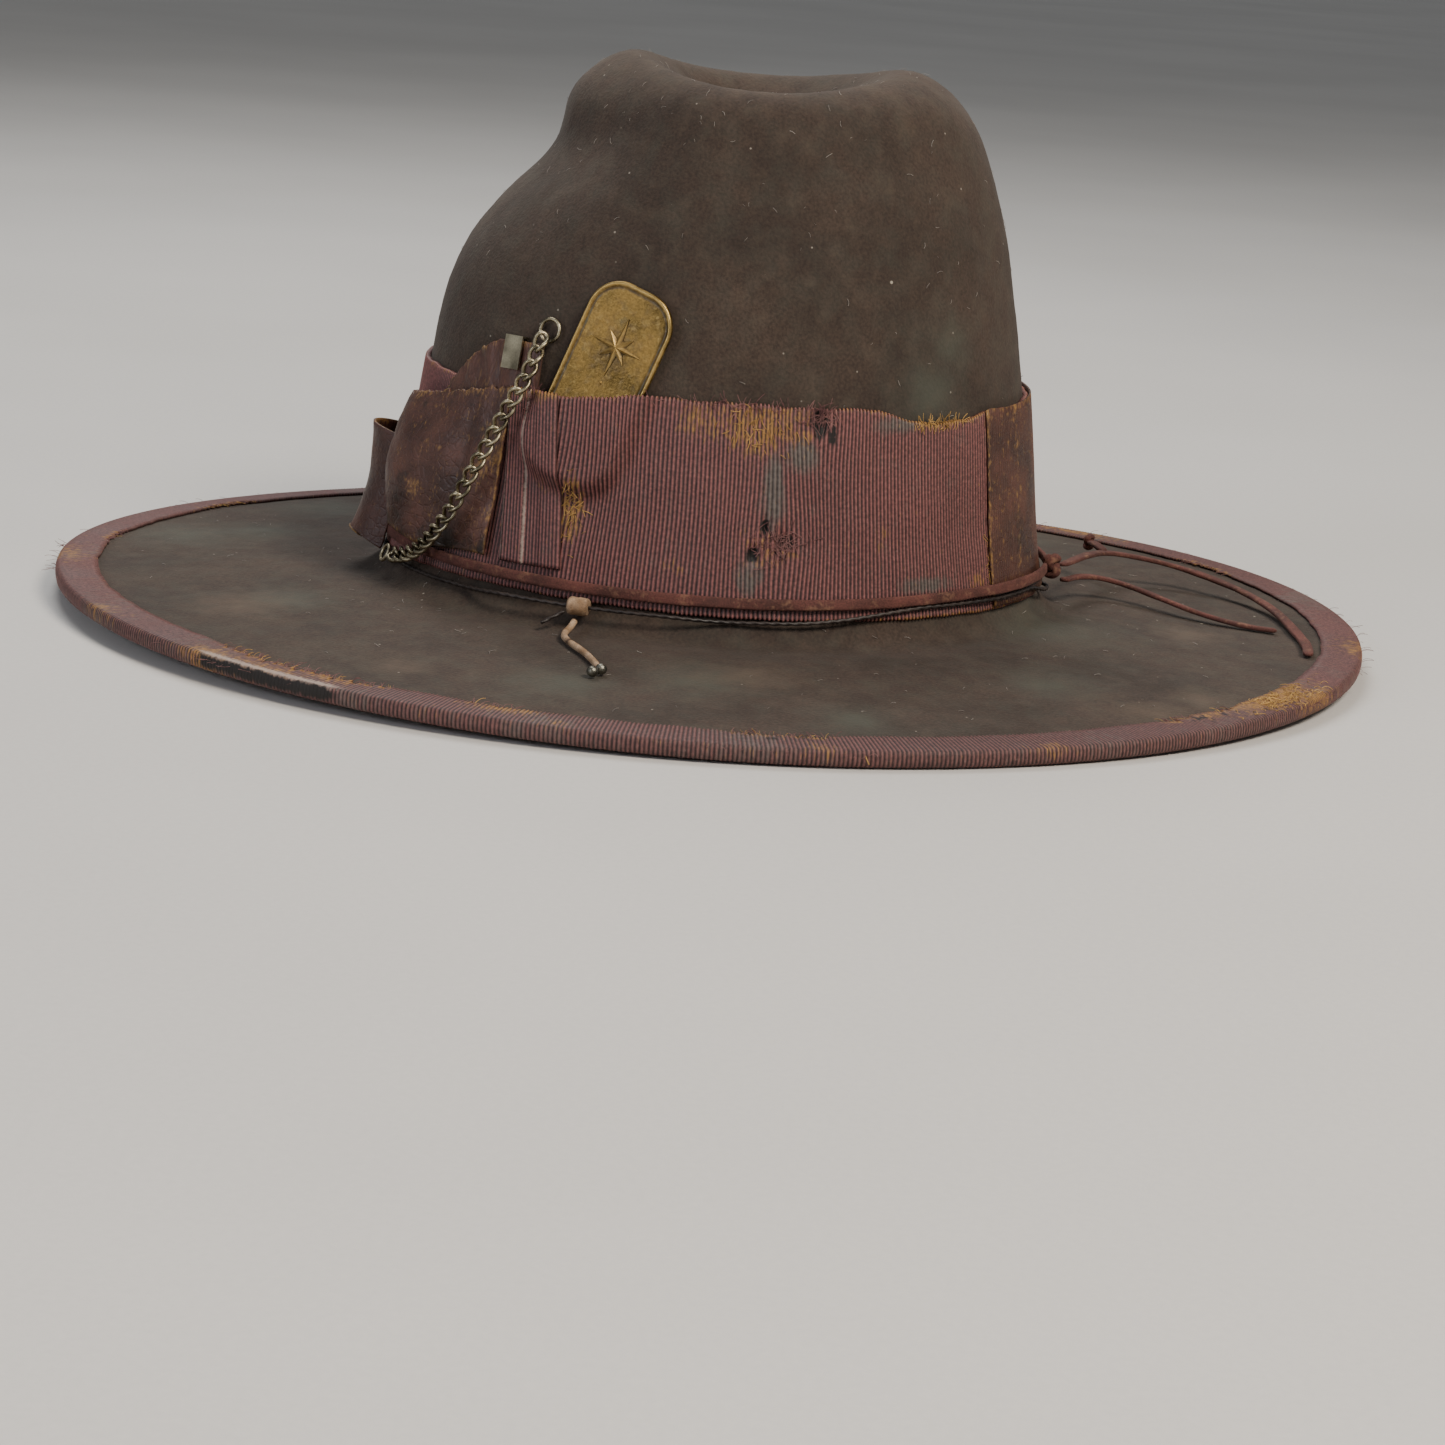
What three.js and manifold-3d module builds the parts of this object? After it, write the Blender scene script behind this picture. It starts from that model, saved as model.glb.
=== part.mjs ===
// A distressed wide-brimmed pirate hat: blocked fur felt, a deep grosgrain band with a
// pocketed brass tag, a ribbon bow with a curb chain, a leather lace and a waxed cord.
//
// Millimetres. +Z runs up out of the crown, -Y is the front, +X is the wearer's left.
// The origin is the middle of the head opening, level with the break where the crown
// turns into the brim. Angles are in degrees round the crown: 0 is the wearer's left,
// 90 is the back and -90 is the front.

import * as THREE from 'three';
import { mergeVertices } from 'three/addons/utils/BufferGeometryUtils.js';
import Module from 'manifold-3d';

const wasm = await Module();
wasm.setup();

// ---------------------------------------------------------------- driving dimensions

const FELT = 2.4;            // thickness of the felt
const GAP = 0.5;             // clearance between one soft layer and the next
const BRIM = { x: 182, y: 198 };     // half width and half length over the binding
const BINDING = { cover: 11, cloth: 0.9, gap: 0.35 };

const BAND = { low: 7.5, high: 67.5, cloth: 1.2 };
const LAP = { from: 56, to: 104, cloth: 0.8 };
const SWEATBAND = { leather: 1.4, low: -1, high: 48 };
const REED_RADIUS = 1.2;
const REED_DROP = 0.3;        // the reed hangs this far below the leather
const LINING = { cloth: 0.6, gap: 1.2, low: 51, split: 0.8 };

const TAG = { width: 27, length: 58, plate: 1.2, corner: 10, rim: 1.5, recess: 0.4 };
const TAG_PLACE = { angle: -23, z: 69, lean: 19, stand: 0.6 };
const POCKET = { from: -35.5, to: -7, edge: 4, low: 38, depth: 3.8 };

const LACE = { width: 3.2, thick: 1.5, z: 13, opening: 2.6 };
const KNOT = { angle: 84, radius: 3.2, stand: 6.4, wrap: 1 };
const CORD_RADIUS = 0.6;
const BARREL = { angle: -21, z: 4.8, outer: 2.5, bore: 1.5, length: 6, stand: 5 };
const BEAD_RADIUS = 1.6;
const CHAIN_RADIUS = 2.3;
const RING_WIRE = 0.55;
const TOP_RING = { angle: -35.3, z: 81.6, stand: 1.5, radius: 3.2 };
const FOOT_RING = { angle: -70.6, z: 6.2, stand: 5, radius: 2.4 };
const EMBLEM = { long: 8.4, short: 5, waist: 2.1, depth: 0.6, up: 11, clear: 0.1 };
const CLIP = { angle: -42.6, z: 78.1, stand: 2.8, width: 6.4, plate: 0.6, room: 1.6, front: 9, back: 5 };
const CORD_PATH = { from: 97, to: 456.2, z: 5.7, clear: 0.35, reach: 12, edge: 14 };
const INSIDE_BOW = { half: 11, z: 12, knot: [1.6, 0.8], loop: [4.4, 1.2], radius: 92, clear: 2.9 };
const PUFF = { from: -76, to: -41.2, low: 16, cloth: 1.2, swell: 8, at: [-67, 36], spread: [11, 17] };
const TAIL_PIECE = { low: 16, high: 64.5, columns: 6, cloth: 0.8, clear: 0.4 };
const TAB = { from: -54, to: -36.2, low: 68.3, high: 77.6, slope: 0.35, stand: 1.5, cloth: 0.9 };

// The felt's outer skin, row by row from the brim's edge up the wall, over the rim of
// the crown and down to the middle of the crease. Each row is an egg-shaped ring:
// [half width, front reach, back reach, height at the side, front and back, taper].
const SKIN = [
  [180.6, 196.6, 196.6, -4.0, -4.0, -4.0, 0],
  [152.0, 167.0, 167.0, -2.5, -2.5, -2.5, 0],
  [122.0, 137.0, 137.0, -1.0, -1.0, -1.0, 0],
  [98.0, 113.0, 113.0, 0.1, 0.1, 0.1, 0],
  [88.6, 103.6, 103.6, 1.2, 1.2, 1.2, 0],
  [84.6, 99.4, 99.4, 5.2, 5.2, 5.2, 0],
  [82.8, 97.4, 97.0, 12.0, 12.0, 12.0, 0],
  [79.6, 93.6, 93.6, 33.0, 33.0, 33.0, 0],
  [75.8, 89.2, 90.0, 62.0, 62.0, 62.0, 0],
  [72.2, 85.6, 86.2, 84.0, 84.0, 84.0, 0],
  [69.0, 80.0, 83.2, 100.0, 100.0, 100.0, 0],
  [62.5, 66.8, 77.6, 122.0, 118.0, 122.0, 0.02],
  [57.0, 55.5, 71.0, 139.0, 133.0, 139.0, 0.04],
  [51.0, 50.5, 60.5, 149.5, 148.0, 152.5, 0.06],
  [42.5, 36.5, 48.0, 152.6, 158.0, 157.9, 0.08],
  [33.0, 25.0, 38.0, 147.5, 155.0, 154.0, 0.1],
  [22.0, 15.0, 26.0, 136.0, 143.0, 143.5, 0.1],
  [11.0, 7.5, 13.0, 127.8, 131.0, 132.0, 0.05],
  [0, 0, 0, 126, 126, 126, 0],
];
const BREAK_ROW = 4;         // the brim turns up into the wall here
const WALL_TOP_ROW = 10;     // rings up to here are level
const RIM_ROW = 14;          // the highest ring

// Two soft thumb dents pinch the front of the crown, and the rim dips on both sides.
const PINCH = { angle: -48, spread: 20, row: 12, reach: 19, depth: 5.2 };
const DIP = { angle: 24, spread: 28, row: 14, reach: 20, depth: 1.8 };

// The brim's edge waves gently: up at the front and back, down at the sides.
const WAVE = { cos: -1.56, sin: -1.29 };

// ---------------------------------------------------------------- the felt's surface

const radians = (degrees) => degrees * Math.PI / 180;
const bump = (x) => Math.exp(-0.5 * x * x);
const mix = (a, b, share) => a + (b - a) * share;

/** Signed difference between two angles, from -180 to 180 degrees. */
function turnBetween(a, b) {
  const turn = (a - b + 180) % 360;
  return (turn < 0 ? turn + 360 : turn) - 180;
}

/** Second derivatives of the natural cubic spline through (at, value). */
function bending(at, value) {
  const last = at.length - 1;
  const weight = [0];
  const load = [0];
  for (let i = 1; i < last; i += 1) {
    const before = at[i] - at[i - 1];
    const after = at[i + 1] - at[i];
    const pivot = 2 * (before + after) - before * weight[i - 1];
    const kink = (value[i + 1] - value[i]) / after - (value[i] - value[i - 1]) / before;
    weight.push(after / pivot);
    load.push((6 * kink - before * load[i - 1]) / pivot);
  }
  const curve = new Array(last + 1).fill(0);
  for (let i = last - 1; i > 0; i -= 1) {
    curve[i] = load[i] - weight[i] * curve[i + 1];
  }
  return curve;
}

/** The natural cubic spline through (at, value), as a function. */
function spline(at, value) {
  const curve = bending(at, value);
  return (x) => {
    let i = 0;
    while (i < at.length - 2 && x > at[i + 1]) i += 1;
    const span = at[i + 1] - at[i];
    const a = (at[i + 1] - x) / span;
    const b = 1 - a;
    const bend = (a ** 3 - a) * curve[i] + (b ** 3 - b) * curve[i + 1];
    return a * value[i] + b * value[i + 1] + bend * span * span / 6;
  };
}

/** Distance along the skin of each row, measured on a mean profile. */
function rowStations() {
  const stations = [0];
  for (let i = 1; i < SKIN.length; i += 1) {
    const across = SKIN[i][0] - SKIN[i - 1][0];
    const rise = (SKIN[i][3] + SKIN[i][4] - SKIN[i - 1][3] - SKIN[i - 1][4]) / 2;
    stations.push(stations[i - 1] + Math.hypot(across, rise));
  }
  return stations;
}

const ROW = rowStations();
const POLE = ROW[ROW.length - 1];
const column = (i) => spline(ROW, SKIN.map((row) => row[i]));
const skin = {
  half: column(0),
  front: column(1),
  back: column(2),
  zSide: column(3),
  zFront: column(4),
  zBack: column(5),
  taper: column(6),
};

/** A point of the felt's outer skin, t along its rows and angle round it. */
function crown(angle, t) {
  const c = Math.cos(radians(angle));
  const s = Math.sin(radians(angle));
  const front = skin.front(t);
  const back = skin.back(t);
  const zSide = skin.zSide(t);
  const zFront = skin.zFront(t);
  const zBack = skin.zBack(t);
  let x = skin.half(t) * (1 + skin.taper(t) * s) * c;
  let y = ((back + front) / 2 + (back - front) / 2 * s) * s;
  let z = zSide + (zBack - zFront) / 2 * s + ((zBack + zFront) / 2 - zSide) * s * s;
  const outward = Math.max(0, 1 - t / ROW[BREAK_ROW]);
  const wave = WAVE.cos * Math.cos(radians(2 * angle)) + WAVE.sin * Math.sin(radians(2 * angle));
  z += outward * outward * wave;
  const hold = Math.min(1, (POLE - t) / 12);   // the dents die out at the pole
  for (const side of [PINCH.angle, 180 - PINCH.angle]) {
    const near = bump(turnBetween(angle, side) / PINCH.spread);
    const push = hold * PINCH.depth * near * bump((t - ROW[PINCH.row]) / PINCH.reach);
    x -= push * c;
    y -= push * s;
  }
  for (const side of [DIP.angle, 180 - DIP.angle]) {
    const near = bump(turnBetween(angle, side) / DIP.spread);
    z -= hold * DIP.depth * near * bump((t - ROW[DIP.row]) / DIP.reach);
  }
  return new THREE.Vector3(x, y, z);
}

/** The skin pushed out along its own normal by stand (inwards if negative). */
function offsetCrown(angle, t, stand) {
  const small = 0.05;
  const point = crown(angle, t);
  if (t > POLE - small) return point.add(new THREE.Vector3(0, 0, stand));
  const round = crown(angle + small, t).sub(crown(angle - small, t));
  const along = crown(angle, t + small).sub(crown(angle, Math.max(0, t - small)));
  return point.addScaledVector(round.cross(along).normalize(), stand);
}

/** Where along the rows the crown's wall stands at height z. */
function wallStation(z) {
  let low = ROW[BREAK_ROW];
  let high = ROW[WALL_TOP_ROW];
  for (let i = 0; i < 40; i += 1) {
    const middle = (low + high) / 2;
    if (skin.zSide(middle) < z) low = middle;
    else high = middle;
  }
  return (low + high) / 2;
}

/** A point standing off the crown's wall at an angle and height. */
const wall = (angle, z, stand) => offsetCrown(angle, wallStation(z), stand);

/** Height of the brim's upper face over a point of the plan. */
function brimHeight(x, y) {
  const angle = THREE.MathUtils.radToDeg(Math.atan2(y / BRIM.y, x / BRIM.x));
  let low = 0;
  let high = ROW[BREAK_ROW];
  for (let i = 0; i < 30; i += 1) {
    const middle = (low + high) / 2;
    const ring = crown(angle, middle);
    if (Math.hypot(ring.x, ring.y) > Math.hypot(x, y)) low = middle;
    else high = middle;
  }
  return crown(angle, low).z;
}

// ---------------------------------------------------------------- making solids

/** A closed solid from loose triangles, flat ones left out, with its faces outwards. */
function solid(triangles) {
  const same = (a, b) => a.distanceToSquared(b) < 1e-10;
  const whole = triangles.filter(([a, b, c]) => !same(a, b) && !same(b, c) && !same(c, a));
  const volume = whole.reduce((sum, [a, b, c]) => sum + a.dot(b.clone().cross(c)), 0);
  const faces = volume > 0 ? whole : whole.map(([a, b, c]) => [a, c, b]);
  const geometry = new THREE.BufferGeometry();
  geometry.setFromPoints(faces.flat());
  return mergeVertices(geometry, 1e-5);
}

/** Two triangles across a four-cornered patch. */
const quad = (a, b, c, d) => [[a, b, c], [a, c, d]];

/** Joins two grids of points, an outer and an inner skin, into one closed sheet. */
function shell(outer, inner, ring = false) {
  const rows = outer.length;
  const last = outer[0].length - 1;
  const faces = [];
  for (let i = 0; i < (ring ? rows : rows - 1); i += 1) {
    const n = (i + 1) % rows;
    for (let j = 0; j < last; j += 1) {
      faces.push(...quad(outer[i][j], outer[n][j], outer[n][j + 1], outer[i][j + 1]));
      faces.push(...quad(inner[i][j], inner[i][j + 1], inner[n][j + 1], inner[n][j]));
    }
    faces.push(...quad(inner[i][0], inner[n][0], outer[n][0], outer[i][0]));
    faces.push(...quad(outer[i][last], outer[n][last], inner[n][last], inner[i][last]));
  }
  if (!ring) {
    for (let j = 0; j < last; j += 1) {
      const end = rows - 1;
      faces.push(...quad(inner[0][j], outer[0][j], outer[0][j + 1], inner[0][j + 1]));
      faces.push(...quad(outer[end][j], inner[end][j], inner[end][j + 1], outer[end][j + 1]));
    }
  }
  return solid(faces);
}

/** A run of sections joined end to end, either into a ring or with flat ends. */
function loft(sections, ring = false) {
  const count = sections.length;
  const sides = sections[0].length;
  const faces = [];
  for (let i = 0; i < (ring ? count : count - 1); i += 1) {
    const next = sections[(i + 1) % count];
    for (let j = 0; j < sides; j += 1) {
      const k = (j + 1) % sides;
      faces.push(...quad(sections[i][j], sections[i][k], next[k], next[j]));
    }
  }
  if (!ring) {
    const end = sections[count - 1];
    for (let j = 1; j < sides - 1; j += 1) {
      faces.push([sections[0][0], sections[0][j + 1], sections[0][j]]);
      faces.push([end[0], end[j], end[j + 1]]);
    }
  }
  return solid(faces);
}

/** Even steps from a to b, both ends included. */
function steps(a, b, count) {
  return Array.from({ length: count + 1 }, (_, i) => mix(a, b, i / count));
}

/** A full turn in even steps, starting at an angle. */
const around = (count, start = 0) => steps(start, start + 360, count).slice(0, count);

/** A grid of points over angles and a second measure. */
const grid = (angles, levels, place) => angles.map((a) => levels.map((l) => place(a, l)));

/** A sheet lying round the wall; stand and height may vary with the place. */
function wallSheet(angles, shares, height, stand, cloth, ring = false) {
  const at = (lift) => (a, share) => wall(a, height(a, share), stand(a, height(a, share)) + lift);
  return shell(grid(angles, shares, at(cloth)), grid(angles, shares, at(0)), ring);
}

/** A round cord of eight sides along a smooth route. */
function rope(points, radius, stepCount) {
  const section = new THREE.Shape();
  section.absarc(0, 0, radius, 0, 2 * Math.PI, false);
  const path = new THREE.CatmullRomCurve3(points, false, 'centripetal');
  const settings = { steps: stepCount, curveSegments: 4, extrudePath: path };
  return new THREE.ExtrudeGeometry(section, settings);
}

/** A flat lace along a route, lying with its broad side up. */
function flatLace(points, stepCount) {
  const path = new THREE.CatmullRomCurve3(points, false, 'centripetal');
  const up = new THREE.Vector3(0, 0, 1);
  const sections = steps(0, 1, stepCount).map((u) => {
    const middle = path.getPointAt(u);
    const ahead = path.getTangentAt(u);
    const across = new THREE.Vector3().crossVectors(ahead, up).normalize();
    const above = new THREE.Vector3().crossVectors(across, ahead);
    return around(8, 22.5).map((turn) => middle.clone()
      .addScaledVector(across, LACE.width / 2 * Math.cos(radians(turn)))
      .addScaledVector(above, LACE.thick / 2 * Math.sin(radians(turn))));
  });
  return loft(sections);
}

/** Route points given as [x, y, height above the brim]. */
const onBrim = (route) => route.map(([x, y, lift]) => {
  return new THREE.Vector3(x, y, brimHeight(x, y) + lift);
});

function toManifold(geometry) {
  geometry.deleteAttribute('normal');
  geometry.deleteAttribute('uv');
  const merged = mergeVertices(geometry, 1e-5);
  return new wasm.Manifold(new wasm.Mesh({
    numProp: 3,
    vertProperties: merged.attributes.position.array,
    triVerts: new Uint32Array(merged.index.array),
  }));
}

function fromManifold(body) {
  const mesh = body.getMesh();
  const geometry = new THREE.BufferGeometry();
  geometry.setAttribute('position', new THREE.BufferAttribute(mesh.vertProperties, mesh.numProp));
  geometry.setIndex(new THREE.BufferAttribute(mesh.triVerts, 1));
  return geometry;
}

// ---------------------------------------------------------------- finishes

const finish = (color, roughness, metalness = 0) => {
  return new THREE.MeshStandardMaterial({ color, roughness, metalness });
};
const FINISH = {
  felt: finish('#403731', 0.95),
  grosgrain: finish('#6b3f3f', 0.8),
  worn: finish('#5a3c30', 0.75),
  satin: finish('#2b2322', 0.45),
  leather: finish('#4c2c24', 0.6),
  brass: finish('#8c7342', 0.45, 1),
  steel: finish('#7d7560', 0.5, 1),
  waxed: finish('#2a2422', 0.55),
  rawhide: finish('#a98a6a', 0.7),
};

const hat = new THREE.Group();

/** Adds a named piece to a group, at rest where its geometry says. */
function add(name, geometry, material, group = hat) {
  const mesh = new THREE.Mesh(geometry, material);
  mesh.name = name;
  group.add(mesh);
  return mesh;
}

// ---------------------------------------------------------------- felt, binding, inside

/** Crown and brim, blocked from one piece of felt. */
function feltBody() {
  const between = (a, b, count) => steps(a, b, count).slice(1);
  const levels = [
    0,
    ...between(0, ROW[3], 3),
    ...between(ROW[3], ROW[6], 6),
    ...between(ROW[6], ROW[WALL_TOP_ROW], 5),
    ...between(ROW[WALL_TOP_ROW], ROW[RIM_ROW - 1], 5),
    ...between(ROW[RIM_ROW - 1], ROW[RIM_ROW + 1], 3),
    ...between(ROW[RIM_ROW + 1], POLE, 4),
  ];
  const angles = around(48);
  const outer = grid(angles, levels, (a, t) => crown(a, t));
  const inner = grid(angles, levels, (a, t) => offsetCrown(a, t, -FELT));
  return shell(outer, inner, true);
}

/** Ribbon folded over the brim's edge, covering both of its faces. */
function brimBinding() {
  const over = BINDING.gap + BINDING.cloth;
  const edge = BRIM.x - SKIN[0][0] - BINDING.cloth;
  const sections = around(48).map((angle) => {
    const radial = new THREE.Vector3(Math.cos(radians(angle)), Math.sin(radians(angle)), 0);
    const rim = crown(angle, 0);
    const cover = crown(angle, BINDING.cover);
    const point = (base, out, rise) => {
      return base.clone().addScaledVector(radial, out).add(new THREE.Vector3(0, 0, rise));
    };
    return [
      point(cover, 0, BINDING.gap),
      point(cover, 0, over),
      point(rim, edge, over),
      point(rim, edge + BINDING.cloth, BINDING.gap / 2),
      point(rim, edge + BINDING.cloth, -FELT - BINDING.gap / 2),
      point(rim, edge, -FELT - over),
      point(cover, 0, -FELT - over),
      point(cover, 0, -FELT - BINDING.gap),
      point(rim, edge, -FELT - BINDING.gap),
      point(rim, edge, BINDING.gap),
    ];
  });
  return loft(sections, true);
}

/** A point inside the head opening, straight down below the crown's first rings. */
function insideWall(angle, z, depth) {
  const straight = SKIN[BREAK_ROW + 2][3];
  const point = wall(angle, Math.max(z, straight), -FELT - depth);
  if (z < straight) point.z = z;
  return point;
}

/** Leather sweatband round the inside of the head opening. */
function sweatband() {
  const levels = [SWEATBAND.low, 12, 28, SWEATBAND.high];
  const at = (depth) => (a, z) => insideWall(a, z, depth);
  const angles = around(48);
  const leather = SWEATBAND.leather;
  return shell(grid(angles, levels, at(GAP)), grid(angles, levels, at(GAP + leather)), true);
}

/** Plastic reed that stiffens the sweatband's sewn edge, at the opening's lip. */
function sweatbandReed() {
  const middle = SWEATBAND.low - REED_DROP - REED_RADIUS;
  const sections = around(40).map((angle) => {
    const core = insideWall(angle, middle, GAP + SWEATBAND.leather / 2);
    const radial = new THREE.Vector3(core.x, core.y, 0).normalize();
    return around(8).map((turn) => core.clone()
      .addScaledVector(radial, REED_RADIUS * Math.cos(radians(turn)))
      .add(new THREE.Vector3(0, 0, REED_RADIUS * Math.sin(radians(turn)))));
  });
  return loft(sections, true);
}

/** Small ribbon bow over the sweatband's joint at the back, seen inside the hat. */
function sweatbandBow() {
  const { half, z, knot: [low, thin], loop: [tall, full], radius, clear } = INSIDE_BOW;
  const depth = GAP + SWEATBAND.leather + clear;
  const sections = steps(-half, half, 12).map((along) => {
    const share = Math.abs(along) / half;
    const height = low + tall * Math.sin(Math.PI * Math.min(1, share * 0.85));
    const thick = thin + full * Math.sin(Math.PI * Math.min(1, share * 0.9));
    const core = insideWall(90 - THREE.MathUtils.radToDeg(along / radius), z, depth);
    return around(8).map((turn) => new THREE.Vector3(
      core.x,
      core.y + thick * Math.cos(radians(turn)),
      core.z + height * Math.sin(radians(turn)),
    ));
  });
  return loft(sections);
}

/** Satin lining of the wall, from the sweatband to the crown's rim. */
function liningSide() {
  const low = wallStation(LINING.low);
  const high = mix(ROW[12], ROW[13], 0.5);
  const levels = steps(low, high, 6);
  const at = (depth) => (a, t) => offsetCrown(a, t, -FELT - depth);
  const angles = around(36);
  const outer = grid(angles, levels, at(LINING.gap));
  return shell(outer, grid(angles, levels, at(LINING.gap + LINING.cloth)), true);
}

/** Satin tip of the lining, under the rim and the crease. */
function liningTip() {
  const levels = steps(mix(ROW[12], ROW[13], 0.5) + LINING.split, POLE, 8);
  const at = (depth) => (a, t) => offsetCrown(a, t, -FELT - depth);
  const angles = around(36);
  const outer = grid(angles, levels, at(LINING.gap));
  return shell(outer, grid(angles, levels, at(LINING.gap + LINING.cloth)), true);
}

// ---------------------------------------------------------------- ribbon outside

/** How far the band stands off the felt to leave the tag its pocket. */
function bandStand(angle, z) {
  const edge = (value, from, width) => THREE.MathUtils.smoothstep(value, from, from + width);
  const opening = edge(angle, POCKET.from - POCKET.edge, POCKET.edge);
  const across = opening * (1 - edge(angle, POCKET.to, POCKET.edge));
  return GAP + POCKET.depth * across * edge(z, POCKET.low - 6, 6);
}

const POCKET_ANGLES = steps(POCKET.from - POCKET.edge - 1, POCKET.to + POCKET.edge + 1, 17);
const POCKET_LEVELS = [31, POCKET.low, 48, 58];

/** Deep grosgrain band with the pocket that holds the tag. */
function hatband() {
  const rest = steps(POCKET_ANGLES[17], POCKET_ANGLES[0] + 360, 42).slice(1, 42);
  const levels = [BAND.low, 12, 20, ...POCKET_LEVELS, BAND.high];
  const angles = [...POCKET_ANGLES, ...rest];
  return wallSheet(angles, levels, (a, z) => z, bandStand, BAND.cloth, true);
}

/** The band's end, lapped over at the back. */
function bandRearLap() {
  const stand = () => GAP + BAND.cloth + 0.3;
  const levels = [BAND.low + 0.5, 12, 22, 37, 52, BAND.high];
  return wallSheet(steps(LAP.from, LAP.to, 9), levels, (a, z) => z, stand, LAP.cloth);
}

const OVER_BAND = GAP + BAND.cloth + 0.4;

/** Puffed, worn loop of the bow, swelling towards the front. */
function bowPuff() {
  const { at: [middle, level], spread: [wide, tall] } = PUFF;
  const angles = steps(PUFF.from, PUFF.to, 9);
  const height = (angle, share) => mix(PUFF.low, 57 + (angle + 66) * 0.3, share);
  const swell = (a, z) => PUFF.swell * bump((a - middle) / wide) * bump((z - level) / tall);
  const stand = (a, z) => OVER_BAND + swell(a, z);
  return wallSheet(angles, steps(0, 1, 7), height, stand, PUFF.cloth);
}

/** Pleated tail of the bow, hanging over the band's joint beside the tag. */
function bowTail() {
  const levels = [TAIL_PIECE.low, ...POCKET_LEVELS, TAIL_PIECE.high];
  const stand = (a, z) => bandStand(a, z) + BAND.cloth + TAIL_PIECE.clear;
  const angles = POCKET_ANGLES.slice(0, TAIL_PIECE.columns);
  return wallSheet(angles, levels, (a, z) => z, stand, TAIL_PIECE.cloth);
}

/** Loop of ribbon standing on edge at the very front of the bow. */
function bowLoop() {
  const plan = [
    [-77.8, 4.7], [-79.5, 9], [-82, 12.5], [-86, 13.8], [-90, 11.5], [-93, 7.5], [-95, 4.7],
  ];
  const levels = [5, 17, 30, 41];
  const path = (z) => new THREE.CatmullRomCurve3(plan.map(([a, stand]) => wall(a, z, stand)));
  const rows = levels.map((z) => path(z));
  const at = (lift) => (share, row) => {
    const ahead = rows[row].getTangent(share);
    const out = new THREE.Vector3(-ahead.y, ahead.x, 0).normalize();
    return rows[row].getPoint(share).addScaledVector(out, lift);
  };
  const shares = steps(0, 1, 12);
  const index = levels.map((_, i) => i);
  return shell(grid(shares, index, at(0.5)), grid(shares, index, at(-0.5)));
}

/** Ribbon tab above the band that carries the clip. */
function bowTab() {
  const top = (angle) => Math.min(TAB.high, TAB.high + (angle + 44) * TAB.slope);
  const height = (angle, share) => mix(TAB.low, top(angle), share);
  const angles = steps(TAB.from, TAB.to, 5);
  return wallSheet(angles, steps(0, 1, 2), height, () => TAB.stand, TAB.cloth);
}

/** Folded metal clip, pinched over the tab's upper edge. */
function ribbonClip() {
  const { plate, room, front, back } = CLIP;
  const outline = new THREE.Shape();
  outline.moveTo(0, -front);
  outline.lineTo(plate, -front);
  outline.lineTo(plate, plate);
  outline.lineTo(-room - plate, plate);
  outline.lineTo(-room - plate, -back);
  outline.lineTo(-room, -back);
  outline.lineTo(-room, 0);
  outline.lineTo(0, 0);
  outline.closePath();
  const settings = { depth: CLIP.width, bevelEnabled: false };
  const geometry = new THREE.ExtrudeGeometry(outline, settings);
  geometry.translate(0, 0, -CLIP.width / 2);
  geometry.rotateX(Math.PI / 2);
  return geometry;
}

// ---------------------------------------------------------------- metalwork

/** Axes of a flat thing laid on the wall: across, along (leaning) and outwards. */
function wallFrame(angle, z, stand, lean) {
  const origin = wall(angle, z, stand);
  const out = wall(angle, z, 1).sub(wall(angle, z, 0)).normalize();
  const across = new THREE.Vector3(0, 0, 1).cross(out).normalize();
  const along = new THREE.Vector3().crossVectors(out, across);
  along.applyAxisAngle(out, radians(-lean));
  across.applyAxisAngle(out, radians(-lean));
  return new THREE.Matrix4().makeBasis(across, along, out).setPosition(origin);
}

/** A rectangle with rounded corners. */
function roundedRectangle(width, length, corner) {
  const x = width / 2;
  const y = length / 2;
  const outline = new THREE.Shape();
  outline.moveTo(x, -y + corner);
  outline.lineTo(x, y - corner);
  outline.absarc(x - corner, y - corner, corner, 0, Math.PI / 2, false);
  outline.absarc(-x + corner, y - corner, corner, Math.PI / 2, Math.PI, false);
  outline.absarc(-x + corner, -y + corner, corner, Math.PI, 1.5 * Math.PI, false);
  outline.absarc(x - corner, -y + corner, corner, 1.5 * Math.PI, 2 * Math.PI, false);
  return outline;
}

/** Struck brass tag with a raised rim round a sunken field. */
function brassTag() {
  const extrude = (inset, depth) => {
    const size = [TAG.width - 2 * inset, TAG.length - 2 * inset, TAG.corner - inset];
    const settings = { depth, bevelEnabled: false, curveSegments: 8 };
    return new THREE.ExtrudeGeometry(roundedRectangle(...size), settings);
  };
  const plate = toManifold(extrude(0, TAG.plate));
  const field = extrude(TAG.rim, TAG.plate);
  field.translate(0, 0, TAG.plate - TAG.recess);
  return fromManifold(plate.subtract(toManifold(field)));
}

/** Plain eight-pointed compass star raised on the tag. */
function tagEmblem() {
  const star = new THREE.Shape();
  const points = 16;
  for (let i = 0; i < points; i += 1) {
    const tip = i % 4 === 0 ? EMBLEM.long : EMBLEM.short;
    const reach = i % 2 === 0 ? tip : EMBLEM.waist;
    const turn = 2 * Math.PI * i / points;
    if (i === 0) star.moveTo(0, reach);
    else star.lineTo(reach * Math.sin(-turn), reach * Math.cos(turn));
  }
  star.closePath();
  return new THREE.ExtrudeGeometry(star, { depth: EMBLEM.depth, bevelEnabled: false });
}

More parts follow.
